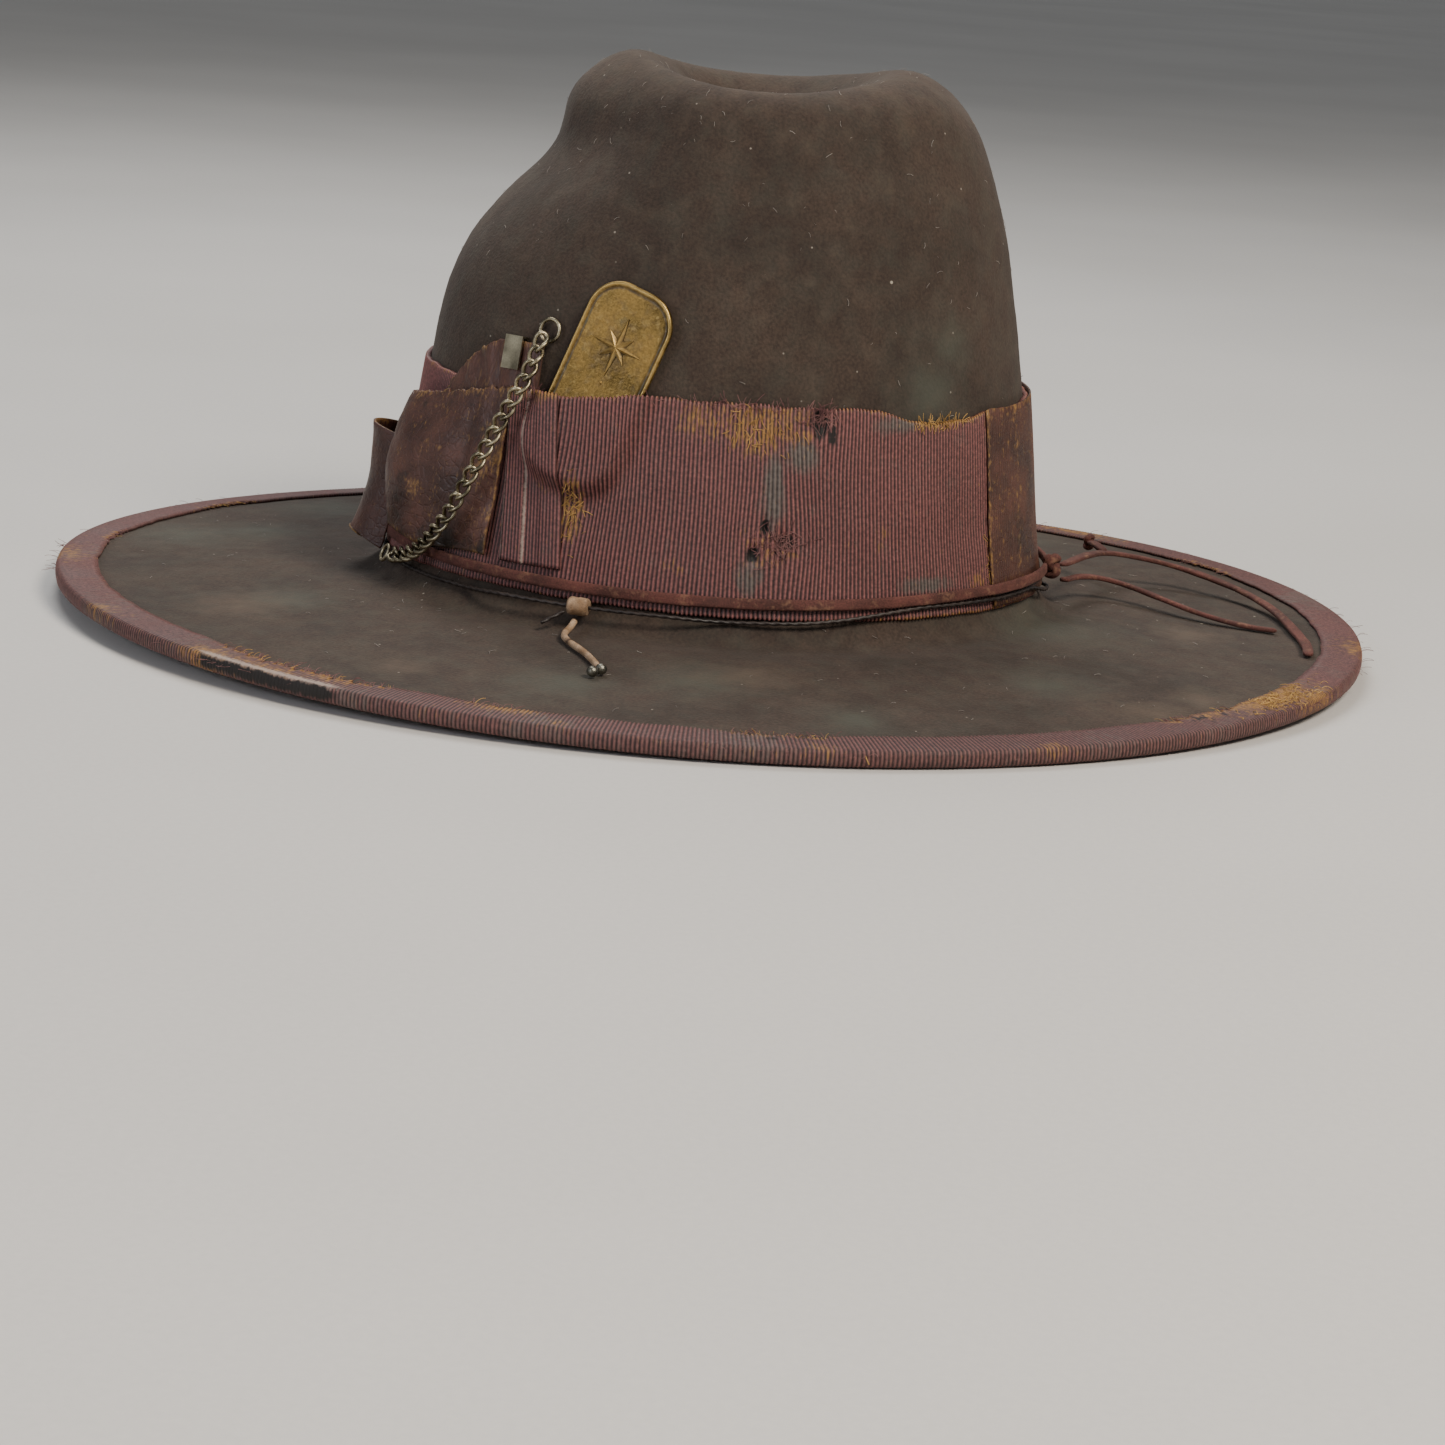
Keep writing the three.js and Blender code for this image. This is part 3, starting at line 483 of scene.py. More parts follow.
    def _relief(self, tree: Any, place: Any, grain: Any) -> Any:
        """The grain, and cells or creases if it has them, as a bump in metres."""
        depth = {"Height": grain, "Strength": 1.0, "Distance": self.grain_depth_mm * MM}
        relief = add_node(tree, "ShaderNodeBump", depth).outputs[0]
        if self.cells_mm:
            links = {"Vector": place, "Scale": 1 / (self.cells_mm * MM)}
            cells = add_node(
                tree, "ShaderNodeTexVoronoi", links, feature="DISTANCE_TO_EDGE"
            ).outputs["Distance"]
            edge = self._ranged(tree, cells, 0, 0.12, 0, 1)
            depth = {"Height": edge, "Strength": 0.6, "Distance": 0.12 * MM, "Normal": relief}
            relief = add_node(tree, "ShaderNodeBump", depth).outputs[0]
        return relief


# Fur felt, blocked and sueded: matt, a soft nap, pale lint and faded grey-green stains.
FELT = Finish(
    "fur_felt_blocked", "#30261f", "#40342c", 34, 0.9, 0.22, 0.3, rough=(0.92, 1.0),
    sheen=0.22, sheen_tint="#8f8378",
    marks=(Mark("stained", "#4d5248", 7, 0.6, 0.55), Mark("scuffed", "#5f5143", 6, 0.5, 0.6)),
    flecks=(Flecks("#8d857a", 7, 0.055, 0.42), Flecks("#a49c8c", 15, 0.035, 0.5)),
)
# Rayon grosgrain over cotton cords: silky ribs with a painted highlight on their crests and
# painted shade between them; the ochre cords show where it is rubbed through.
GROSGRAIN = Finish(
    "rayon_grosgrain_ribbon", "#472829", "#633a3a", 26, 0.5, 0.05, 0.25, (0.35, 2.2, 1),
    Guide.CLOTH, rough=(0.5, 0.68), sheen=0.1, sheen_tint="#c79a94",
    marks=(
        # crest: painted highlight on the ribs' crests.
        Mark("crest", "#a86c66", 0.8, 0.45, 0.85),
        Mark("greyed", "#67645d", 2.4, 0.4, 0.85, 1.6, (1.6, 0.4, 1)),
        Mark("worn", "#a5793e", 0.9, 0.2, 0.95, 2.0, (1.5, 0.3, 1)),
        # gap: painted shade between the ribs.
        Mark("gap", "#190d0e", 1.2, 0.5, 0.95),
        Mark("selvedge", "#a8968a", 1.0, 0.3, 0.8),
        Mark("scorched", "#120e0c", 1.6, 0.2, 1.0),
    ),
)
# The same ribbon on the brim's edge, duller with dust and handling.
BINDING_GROSGRAIN = replace(
    GROSGRAIN, name="rayon_grosgrain_binding", dark="#3c2727", light="#573837", rough=(0.6, 0.78),
    # A duller painted highlight on the rib crests; the gap mark kept from the band is painted shade between
    # the ribs.
    marks=(Mark("crest", "#8c5e58", 0.8, 0.45, 0.8), *GROSGRAIN.marks[1:]),
)
# The same ribbon, rubbed smooth and grimy until it looks like hide,
# with painted shade between its ribs, in its folds and under the puff.
WORN_RIBBON = Finish(
    "worn_ribbon_rubbed_smooth", "#38201b", "#5d3b31", 15, 0.6, 0.06, 0.22, (1, 1, 1),
    Guide.CLOTH, 2.6, rough=(0.42, 0.6), sheen=0.1, sheen_tint="#c0a080",
    marks=(
        # gap: painted shade between the ribs and in the hollows of folds.
        Mark("gap", "#271711", 1.2, 0.5, 0.6),
        Mark("worn", "#94703f", 0.9, 0.25, 0.85, 2.0, (1.3, 0.5, 1)),
        # scorched: dark scorched blotches, and on the puff a painted shadow along its foot.
        Mark("scorched", "#1a120d", 2.2, 0.3, 0.9),
    ),
)
# Dark satin lining with a fine weft and a soft gloss.
SATIN = Finish(
    "acetate_satin_lining", "#241c1b", "#3a2f2d", 30, 0.35, 0.03, 0.2, (1, 1, 6),
    rough=(0.28, 0.4), sheen=0.2,
)
# Tanned roan sweatband: pebbled.
SWEATBAND_LEATHER = Finish(
    "roan_sweatband_leather", "#3c221b", "#5c3a2c", 22, 0.8, 0.08, 0.2,
    cells_mm=1.3, rough=(0.45, 0.62),
)
# Extruded reed, smooth and slightly glossy.
REED = Finish("extruded_reed_plastic", "#1f1a19", "#2c2523", 40, 1.5, 0.02, 0.1, rough=(0.35, 0.45))
# Red-brown suede split: matt with a short rubbed nap.
LACE_SUEDE = Finish(
    "suede_split_lace", "#45251f", "#633a33", 9, 0.45, 0.12, 0.35, rough=(0.82, 0.95),
    sheen=0.15, sheen_tint="#b08070", marks=(Mark("worn", "#9a7458", 1.2, 0.3, 0.7),),
)
# Cast brass, brown in the hollows with verdigris, bright where the relief is rubbed.
TAG_BRASS = Finish(
    "cast_brass_aged", "#5f4c29", "#927541", 12, 0.7, 0.07, 0.22, rough=(0.34, 0.52),
    metallic=1.0, dull=("recess", "verdigris"),
    marks=(
        Mark("recess", "#3d2f1c", 2.6, 0.45, 0.85),
        Mark("verdigris", "#4c5c48", 2.2, 0.35, 0.35),
        Mark("rubbed", "#c2a466", 1.6, 0.4, 0.8),
    ),
)
# Nickelled steel chain gone dull, in brownish clouds.
CHAIN_STEEL = Finish(
    "nickelled_steel_tarnished", "#6a6350", "#b8ad90", 5, 0.4, 0.03, 0.2,
    rough=(0.3, 0.46), metallic=1.0,
)
# Folded sheet steel, worn bright.
CLIP_STEEL = Finish(
    "folded_steel_clip", "#857d68", "#bdb499", 7, 0.5, 0.02, 0.15, (0.4, 2, 1),
    rough=(0.28, 0.42), metallic=1.0,
)
PEWTER = Finish(
    "cast_pewter_bead", "#5c5a52", "#8f8c80", 3, 0.4, 0.05, 0.25, rough=(0.35, 0.5), metallic=1.0,
)
# Waxed linen cord: dark, twisted, with a low shine.
WAXED_CORD = Finish("waxed_linen_cord", "#201a18", "#3a302b", 12, 0.4, 0.05, 0.25, rough=(0.45, 0.6))
# Rolled rawhide: tan, fibrous and grimy; its gap mark also paints shade in the tail's pinched groove and
# darkens the barrel's ends.
RAWHIDE = Finish(
    "rolled_rawhide", "#8d6f50", "#bda184", 5, 0.5, 0.12, 0.3, (1, 1, 3), rough=(0.6, 0.75),
    marks=(Mark("gap", "#4a3524", 1.2, 0.4, 0.9),),
)
# Loose cotton and rayon threads, lint.
OCHRE_THREAD = Finish("cotton_thread_ochre", "#8c6a34", "#c79f5e", 6, 0.3, 0.02, 0.2)
MAUVE_THREAD = Finish("rayon_thread_mauve", "#5a3838", "#8c6460", 6, 0.3, 0.02, 0.2)
LINT = Finish("lint_fibre_pale", "#77706a", "#a8a198", 6, 0.3, 0.02, 0.2)
FLOOR = Finish("seamless_paper_pale", "#cfccc7", "#d6d3ce", 400, 2, 0.01, 0.02, rough=(0.85, 0.9))


# ------------------------------------------------------------------ making meshes


@dataclass
class Sheet:
    """Points of a grid, in mm, with an attribute or more for each of them."""

    points: np.ndarray
    values: dict[str, np.ndarray] = field(default_factory=dict)


def make_object(name: str, points: np.ndarray, faces: list, values: dict) -> bpy.types.Object:
    """A closed mesh object at the origin, with its faces outwards.

    Args:
        name: the piece's name.
        points: the vertices in mm.
        faces: vertex numbers of each face.
        values: attribute names with one number or vector a vertex.

    Returns:
        The object, in the scene.
    """
    mesh = bpy.data.meshes.new(name)
    mesh.from_pydata((points * MM).tolist(), [], faces)
    mesh.update()
    mesh.calc_loop_triangles()
    corners = np.empty(len(mesh.loop_triangles) * 3, np.int32)
    mesh.loop_triangles.foreach_get("vertices", corners)
    a, b, c = points[corners.reshape(-1, 3)].transpose(1, 0, 2)
    if np.einsum("ij,ij->i", a, np.cross(b, c)).sum() < 0:
        mesh.flip_normals()
    for key, value in values.items():
        kind, slot = ("FLOAT", "value") if value.ndim == 1 else ("FLOAT_VECTOR", "vector")
        made = mesh.attributes.new(key, kind, "POINT")
        made.data.foreach_set(slot, value.astype(np.float32).ravel())
    mesh.shade_smooth()
    thing = bpy.data.objects.new(name, mesh)
    bpy.context.scene.collection.objects.link(thing)
    return thing


def cells(index: np.ndarray) -> np.ndarray:
    """Quads of a grid of vertex numbers."""
    return np.stack([index[:-1, :-1], index[1:, :-1], index[1:, 1:], index[:-1, 1:]], -1).reshape(-1, 4)


def shell(name: str, outer: Sheet, inner: np.ndarray, ring: bool = False) -> bpy.types.Object:
    """Joins an outer and an inner grid into one closed sheet.

    Args:
        name: the piece's name.
        outer: the face that shows; its first axis runs round the hat.
        inner: points of the hidden face. Round a ring it may have fewer rows.
        ring: True if the first axis closes on itself.

    Returns:
        The object.
    """
    n, m, k = outer.points.shape[0], outer.points.shape[1], inner.shape[1]
    front = np.arange(n * m).reshape(n, m)
    back = n * m + np.arange(n * k).reshape(n, k)
    if ring:
        front, back = np.vstack([front, front[:1]]), np.vstack([back, back[:1]])
    edges = [(back[:, 0], front[:, 0]), (front[:, -1], back[:, -1])]
    if not ring:
        edges += [(front[0], back[0]), (back[-1], front[-1])]
    faces = [cells(front), cells(back[:, ::-1])]
    faces += [cells(np.stack(pair, axis=-1)) for pair in edges[:2]]
    faces += [cells(np.stack(pair, axis=-1)) for pair in edges[2:]]
    values = {}
    for key, value in outer.values.items():
        rear = np.repeat(value[:, :1], k, axis=1) if k != m else value
        rear = rear if key == "cloth" else rear * 0
        tail = value.shape[2:]
        values[key] = np.concatenate([value.reshape(-1, *tail), rear.reshape(-1, *tail)])
    points = np.concatenate([outer.points.reshape(-1, 3), inner.reshape(-1, 3)])
    return make_object(name, points, np.concatenate(faces).tolist(), values)


def loft(name: str, rings: np.ndarray, closed: bool = False, values: dict | None = None) -> bpy.types.Object:
    """A run of rings joined end to end.

    Args:
        name: the piece's name.
        rings: points of each ring in mm.
        closed: True if the last ring meets the first, else both ends are capped.
        values: attributes, one number for each point of each ring.

    Returns:
        The object.
    """
    n, k = rings.shape[:2]
    index = np.arange(n * k).reshape(n, k)
    wrapped = np.hstack([index, index[:, :1]])
    if closed:
        wrapped = np.vstack([wrapped, wrapped[:1]])
    faces = cells(wrapped).tolist()
    if not closed:
        faces += [index[0].tolist(), index[-1, ::-1].tolist()]
    flat = {key: value.reshape(n * k, *value.shape[2:]) for key, value in (values or {}).items()}
    return make_object(name, rings.reshape(-1, 3), faces, flat)


def sweep(path: np.ndarray, out: np.ndarray, section: np.ndarray, closed: bool = False) -> np.ndarray:
    """Rings of a section carried along a path.

    Args:
        path: points of the line, in mm.
        out: the direction at each point that the section's second axis keeps to.
        section: points across and outwards, one set for all rings or one for each.
        closed: True if the path closes on itself.

    Returns:
        The rings' points.
    """
    if closed:
        ahead = unit(np.roll(path, -1, axis=0) - np.roll(path, 1, axis=0))
    else:
        ahead = unit(np.gradient(path, axis=0))
    across = unit(np.cross(out, ahead))
    above = np.cross(ahead, across)
    section = np.broadcast_to(section, (len(path), *section.shape[-2:]))
    lateral = section[..., :1] * across[:, None] + section[..., 1:] * above[:, None]
    return path[:, None] + lateral


def oval(wide: float, thick: float, count: int, square: float = 2.0) -> np.ndarray:
    """A rounded section, an ellipse at square 2 and flatter-sided above it."""
    turn = np.linspace(0, 2 * math.pi, count, endpoint=False)
    c, s = np.cos(turn), np.sin(turn)
    x = np.sign(c) * np.abs(c) ** (2 / square) * wide / 2
    y = np.sign(s) * np.abs(s) ** (2 / square) * thick / 2
    return np.stack([x, y], axis=-1)


def settle(
    piece: bpy.types.Object, finish: Finish, body: str, nodes: tuple[str, ...] = ()
) -> bpy.types.Object:
    """Dresses a piece, sets it on its body and reports it.

    Args:
        piece: the finished mesh.
        finish: its finish.
        body: the CAD body that it moves with.
        nodes: CAD nodes that it stands for.

    Returns:
        The piece.
    """
    piece.data.materials.clear()
    piece.data.materials.append(finish.material())
    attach(piece, body)
    if nodes:
        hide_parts(*nodes)
    log.info("%s: %d faces on %s", piece.name, len(piece.data.polygons), body)
    return piece


class NodeShape:
    """A Geometry Nodes tree that turns a guide mesh into many small things."""

    def __init__(self, name: str, sizes: dict[str, float]) -> None:
        """Starts a tree with a geometry input and a named input for each size."""
        self.tree = bpy.data.node_groups.new(name, "GeometryNodeTree")
        face = self.tree.interface
        face.new_socket("Guide", in_out="INPUT", socket_type="NodeSocketGeometry")
        self._ids = {}
        for key in sizes:
            made = face.new_socket(key, in_out="INPUT", socket_type="NodeSocketFloat")
            self._ids[key] = made.identifier
        face.new_socket("Result", in_out="OUTPUT", socket_type="NodeSocketGeometry")
        self.sizes = sizes
        self.inputs = add_node(self.tree, "NodeGroupInput").outputs

    def add(self, kind: str, links: dict | None = None, **settings: Any) -> Any:
        """Adds a node and gives back its outputs."""
        return add_node(self.tree, kind, links, **settings).outputs

    def finish(self, instances: Any, material: bpy.types.Material) -> None:
        """Ends the tree: instances made real, smooth and dressed."""
        real = self.add("GeometryNodeRealizeInstances", {0: instances})[0]
        smooth = self.add("GeometryNodeSetShadeSmooth", {0: real})[0]
        dressed = self.add("GeometryNodeSetMaterial", {0: smooth, "Material": material})[0]
        add_node(self.tree, "NodeGroupOutput", {0: dressed})

    def bake(self, guide: bpy.types.Object, name: str) -> bpy.types.Object:
        """Runs the tree on a guide.

        Args:
            guide: the mesh that the shapes follow; it is removed.
            name: the new piece's name.

        Returns:
            A plain mesh object.
        """
        modifier = guide.modifiers.new("shape", "NODES")
        modifier.node_group = self.tree
        for key, value in self.sizes.items():
            modifier[self._ids[key]] = float(value)
        graph = bpy.context.evaluated_depsgraph_get()
        mesh = bpy.data.meshes.new_from_object(guide.evaluated_get(graph), depsgraph=graph)
        mesh.name = name
        bpy.data.objects.remove(guide)
        made = bpy.data.objects.new(name, mesh)
        bpy.context.scene.collection.objects.link(made)
        return made


def guide_mesh(points: np.ndarray, edges: list, vectors: dict[str, np.ndarray]) -> bpy.types.Object:
    """A mesh of loose points or a line, in mm, with a direction or more at each point."""
    mesh = bpy.data.meshes.new("guide")
    mesh.from_pydata((points * MM).tolist(), edges, [])
    for key, value in vectors.items():
        made = mesh.attributes.new(key, "FLOAT_VECTOR", "POINT")
        made.data.foreach_set("vector", value.astype(np.float32).ravel())
    thing = bpy.data.objects.new("guide", mesh)
    bpy.context.scene.collection.objects.link(thing)
    return thing


@dataclass(frozen=True)
class Threads:
    """Loose threads that start at given points and lie or stand as they are told."""

    name: str
    length: float
    width: float
    curl: float
    seed: int
    finish: Finish

    def make(self, points: np.ndarray, out: np.ndarray, lie: np.ndarray) -> bpy.types.Object:
        """Sets a bent thread at each point.

        Args:
            points: where the threads start, in mm.
            out: the surface's outward direction at each.
            lie: the direction that each thread runs in.

        Returns:
            The threads as one mesh.
        """
        shape = NodeShape(self.name, {
            "Length": self.length * MM, "Width": self.width * MM, "Curl": self.curl * MM,
        })
        end = shape.add("ShaderNodeCombineXYZ", {0: shape.inputs["Length"]})[0]
        half = {0: shape.inputs["Length"], 1: 0.5}
        middle = shape.add("ShaderNodeMath", half, operation="MULTIPLY")[0]
        curl = shape.inputs["Curl"]
        knee = shape.add("ShaderNodeCombineXYZ", {0: middle, 1: curl, 2: curl})[0]
        line = shape.add("GeometryNodeCurveQuadraticBezier", {
            "Resolution": 5, "Start": (0, 0, 0), "Middle": knee, "End": end,
        })[0]
        round_it = {"Resolution": 4, "Radius": shape.inputs["Width"]}
        profile = shape.add("GeometryNodeCurvePrimitiveCircle", round_it)[0]
        caps = {"Curve": line, "Profile Curve": profile, "Fill Caps": True}
        thread = shape.add("GeometryNodeCurveToMesh", caps)[0]
        axes = [
            shape.add("GeometryNodeInputNamedAttribute", {0: key}, data_type="FLOAT_VECTOR")[0]
            for key in ("lie", "out")
        ]
        turned = shape.add(
            "FunctionNodeAxesToRotation", {0: axes[0], 1: axes[1]}, primary_axis="X", secondary_axis="Z"
        )[0]
        wild = {0: (-0.7, -0.35, -0.7), 1: (0.7, 0.1, 0.7), "Seed": self.seed}
        twist = shape.add("FunctionNodeRandomValue", wild, data_type="FLOAT_VECTOR")[0]
        spun = shape.add("FunctionNodeEulerToRotation", {0: twist})[0]
        turn = {0: turned, 1: spun}
        turned = shape.add("FunctionNodeRotateRotation", turn, rotation_space="LOCAL")[0]
        some = {2: 0.4, 3: 1.5, "Seed": self.seed + 1}
        size = shape.add("FunctionNodeRandomValue", some, data_type="FLOAT")[1]
        scale = shape.add("ShaderNodeCombineXYZ", {0: size, 1: size, 2: 1.0})[0]
        dots = shape.add("GeometryNodeMeshToPoints", {0: shape.inputs["Guide"]})[0]
        shape.finish(shape.add("GeometryNodeInstanceOnPoints", {
            "Points": dots, "Instance": thread, "Rotation": turned, "Scale": scale,
        })[0], self.finish.material())
        return shape.bake(guide_mesh(points, [], {"out": out, "lie": lie}), self.name)


# ------------------------------------------------------------------ wear


@dataclass(frozen=True)
class Spot:
    """An oval place of wear on the wall: where, how wide and tall in mm, how strong."""

    angle: float
    z: float
    wide: float
    tall: float
    strength: float = 1.0


MM_A_DEGREE = 1.52


def spotted(spots: tuple[Spot, ...], angle: np.ndarray, z: np.ndarray) -> np.ndarray:
    """How strongly any of some spots covers each place of the wall, from 0 to 1."""
    total = np.zeros(np.broadcast(angle, z).shape)
    for spot in spots:
        across = turn_between(angle, spot.angle) * MM_A_DEGREE / spot.wide
        far = np.hypot(across, (z - spot.z) / spot.tall)
        total = np.maximum(total, spot.strength * (1 - smoothstep(far, 0.35, 1.25)))
    return total


@dataclass(frozen=True)
class Ribs:
    """The cross ribs of grosgrain."""

    pitch: float = 1.15
    height: float = 0.46
    steps: int = 4

    def count(self, length: float) -> int:
        """How many columns of points a ribbon of a length takes."""
        return self.steps * max(2, round(length / self.pitch))

    def profile(self, columns: int) -> np.ndarray:
        """Height of each column, from 0 in a gap to 1 on a crest."""
        turn = 2 * math.pi * np.arange(columns) / self.steps
        return ((1 - np.cos(turn)) / 2) ** 0.7


RIBS = Ribs()


# ------------------------------------------------------------------ studio


@dataclass
class Studio:
    """The camera, the floor and soft light."""

    eye: tuple[float, float, float] = (1.0286, 0.0, 0.2119)
    aim: tuple[float, float, float] = (0.0, 0.0063, -0.0441)
    roll: float = 3.99
    lens: float = 85.3
    floor_half: float = 40.0

    def camera(self) -> None:
        """Makes the scene's camera."""
        data = bpy.data.cameras.new("camera")
        data.lens, data.sensor_width = self.lens, 36
        data.clip_start, data.clip_end = 0.05, 50
        made = bpy.data.objects.new("camera", data)
        look = (Vector(self.aim) - Vector(self.eye)).to_track_quat("-Z", "Y")
        made.rotation_mode = "QUATERNION"
        made.rotation_quaternion = look @ Quaternion((0, 0, 1), math.radians(self.roll))
        made.location = self.eye
        bpy.context.scene.collection.objects.link(made)
        bpy.context.scene.camera = made

    def light(self, place: tuple, size: float, power: float, colour: str) -> None:
        """One soft light that faces the hat."""
        data = bpy.data.lights.new("soft_light", "AREA")
        data.shape, data.size, data.energy = "DISK", size, power
        data.color = linear(colour)[:3]
        made = bpy.data.objects.new("soft_light", data)
        made.location = place
        made.rotation_mode = "QUATERNION"
        made.rotation_quaternion = (Vector((0, 0, 0.05)) - Vector(place)).to_track_quat("-Z", "Y")
        bpy.context.scene.collection.objects.link(made)

    def build(self) -> None:
        """Floor, lights and the pale surroundings."""
        half, top = self.floor_half, CAD_BOX[0].z - 0.0004
        corners = np.array([[-half, -half, top], [half, -half, top], [half, half, top], [-half, half, top]])
        mesh = bpy.data.meshes.new("floor")
        mesh.from_pydata(corners.tolist(), [], [(0, 1, 2, 3)])
        mesh.materials.append(FLOOR.material())
        floor = bpy.data.objects.new("floor", mesh)
        bpy.context.scene.collection.objects.link(floor)
        self.light((0.9, 0.75, 1.2), 0.6, 26, "#fff4e6")
        self.light((1.2, -1.3, 0.7), 0.8, 9, "#eef3ff")
        self.light((-0.8, -0.3, 1.4), 0.9, 16, "#ffffff")
        world = bpy.data.worlds.new("pale_room")
        world.use_nodes = True
        sky = world.node_tree.nodes["Background"].inputs
        sky["Color"].default_value, sky["Strength"].default_value = linear("#c9ccd0"), 0.34
        bpy.context.scene.world = world


# ------------------------------------------------------------------ laces and cords


@dataclass
class Lace:
    """The suede lace round the foot of the band, its knot and its two free tails."""

    width: float = 3.2
    thick: float = 1.5
    z: float = 13
    knot_angle: float = 84
    knot_radius: float = 3.2
    knot_stand: float = 6.4
    opening: float = 2.6
    # x, y and height above the brim
    upper: tuple = (
        (-0.5, 106.6, 12.4), (-10, 110.6, 12.2), (-20, 115, 11.8), (-30, 119.6, 11.2),
        (-38, 124.4, 10.6), (-43, 130, 9.8), (-45.4, 136.6, 8.9), (-45.6, 143.6, 7.9),
        (-43.6, 151, 6.7), (-39, 158.6, 5.4), (-32, 165.4, 4.2), (-22.6, 170.8, 3.2),
        (-11.6, 174.4, 2.5), (0.4, 176.4, 2), (12.4, 177.6, 1.6), (24, 178.4, 1.4),
        (33, 178.2, 1.3), (40.6, 177.2, 1.3),
    )
    lower: tuple = (
        (3, 107.2, 8.6), (-3.6, 110, 8), (-9.4, 114, 7.5), (-12.6, 119, 6.9),
        (-12.6, 124.6, 6.2), (-10.4, 130.4, 5.4), (-7, 136, 4.5), (-3, 141.6, 3.6),
        (1.2, 147, 2.8), (5, 152.8, 2.1), (8.4, 159, 1.6), (10.8, 165.4, 1.3), (12.2, 172, 1.3),
    )
    spur: tuple = ((-36.5, 123.2, 11.2), (-40, 121.6, 12.0), (-44, 120.4, 12.2), (-47, 119.8, 11.8))

    def _strip(self, name: str, line: np.ndarray, out: np.ndarray, closed_ends: bool) -> bpy.types.Object:
        """A flat, slightly uneven strip of suede along a line."""
        count = len(line)
        section = oval(self.width, self.thick, 14, 3.4)
        uneven = 1 + 0.09 * roughness_of(line, 6)
        roll = 0.3 * roughness_of(line + 40, 26)
        size = np.stack([uneven, 1 + (uneven - 1) * 0.6], axis=-1)[:, None]
        sections = section[None] * size
        c, s = np.cos(roll)[:, None], np.sin(roll)[:, None]
        x, y = sections[..., 0], sections[..., 1]
        sections = np.stack([c * x - s * y, s * x + c * y], axis=-1)
        if closed_ends:
            taper = np.ones(count)
            taper[[0, -1]], taper[[1, -2]] = 0.45, 0.85
            sections = sections * taper[:, None, None]
        rings = sweep(line, out, sections)
        rub = np.clip(0.35 * roughness_of(rings, 4) + 0.12, 0, 1)
        return loft(name, rings, values={"worn": rub})

    def _tail(self, name: str, route: tuple) -> bpy.types.Object:
        """A free tail of lace laid over the brim."""
        points = SKIN.on_brim(list(route))
        line = smooth_path(points, 130)
        up = np.tile([0.0, 0.0, 1.0], (len(line), 1))
        piece = settle(self._strip(name + "_suede", line, up, True), LACE_SUEDE, HAT, (name,))
        return piece

    def _knotted(
        self, name: str, centre: np.ndarray, radius: float, wire: float, tilt: float
    ) -> bpy.types.Object:
        """A drawn-up overhand knot: a tight trefoil of lace."""
        turn = np.linspace(0, 2 * math.pi, 96, endpoint=False)
        x = np.sin(turn) + 2 * np.sin(2 * turn)
        y = np.cos(turn) - 2 * np.cos(2 * turn)
        z = -1.25 * np.sin(3 * turn)
        line = np.stack([x, z, y], axis=-1) * radius / 3.1
        c, s = math.cos(tilt), math.sin(tilt)
        line = line @ np.array([[c, 0, s], [0, 1, 0], [-s, 0, c]]) + centre
        rings = sweep(line, unit(line - centre), oval(wire * 1.35, wire, 10, 2.6), closed=True)
        rub = np.clip(0.35 * roughness_of(rings, 3) + 0.15, 0, 1)
        return loft(name, rings, closed=True, values={"worn": rub})

    def build_tails(self) -> None:
        """Both tails with the small knotted end beside the upper one."""
        for name, route in (("lace_tail_upper", self.upper), ("lace_tail_lower", self.lower)):
            piece = self._tail(name, route)
            line = smooth_path(SKIN.on_brim(list(route)), 38)
            going = [self._spur()] if name == "lace_tail_upper" else []

    def _spur(self) -> bpy.types.Object:
        """A short knotted end of lace that crosses the upper tail."""
        line = smooth_path(SKIN.on_brim(list(self.spur)), 16)
        up = np.tile([0.0, 0.0, 1.0], (len(line), 1))
        strip = self._strip("lace_spur", line, up, True)
        knot = self._knotted("lace_spur_knot", line[-1] + np.array([-1.6, -0.4, 0]), 2.1, 1.5, 0.6)
        joined = join("lace_spur", [strip, knot])
        return settle(joined, LACE_SUEDE, HAT, ())

    def build(self) -> None:
        """The ring round the hat and its knot."""
        start = self.knot_angle + self.opening
        angle = np.linspace(start, start + 360 - 2 * self.opening, 420)
        lap = 1.8 * (1 - smoothstep(np.abs(turn_between(angle, 80)) - 24, 0, 5))
        sag = 1.6 * bump(turn_between(angle, 0) / 32) - 0.4 * bump(turn_between(angle, 52) / 14)
        z = self.z - sag
        stand = 2.0 + lap + self.thick / 2
        line = SKIN.wall(angle, z, stand)
        out = SKIN.normal(angle, SKIN.along_wall(z))
        ring = self._strip("lace_ring", line, out, False)
        settle(ring, LACE_SUEDE, HAT, ("leather_lace",))
        centre = SKIN.wall(self.knot_angle, self.z, self.knot_stand)
        knot = self._knotted("lace_overhand_knot", centre, self.knot_radius, 2.2, 0.3)
        settle(knot, LACE_SUEDE, HAT, ("lace_knot",))


def join(name: str, parts: list[bpy.types.Object]) -> bpy.types.Object:
    """Several meshes as one object."""
    verts, faces, values, base = [], [], {}, 0
    keys = {a.name for p in parts for a in p.data.attributes if a.data_type == "FLOAT"}
    for part in parts:
        count = len(part.data.vertices)
        co = np.empty(count * 3, np.float32)
        part.data.vertices.foreach_get("co", co)
        verts.append(co.reshape(-1, 3) / MM)
        faces += [[base + i for i in poly.vertices] for poly in part.data.polygons]
        for key in keys:
            got = np.zeros(count, np.float32)
            if key in part.data.attributes:
                part.data.attributes[key].data.foreach_get("value", got)
            values.setdefault(key, []).append(got)
        base += count
        bpy.data.objects.remove(part)
    made = {key: np.concatenate(value) for key, value in values.items()}
    return make_object(name, np.concatenate(verts), faces, made)


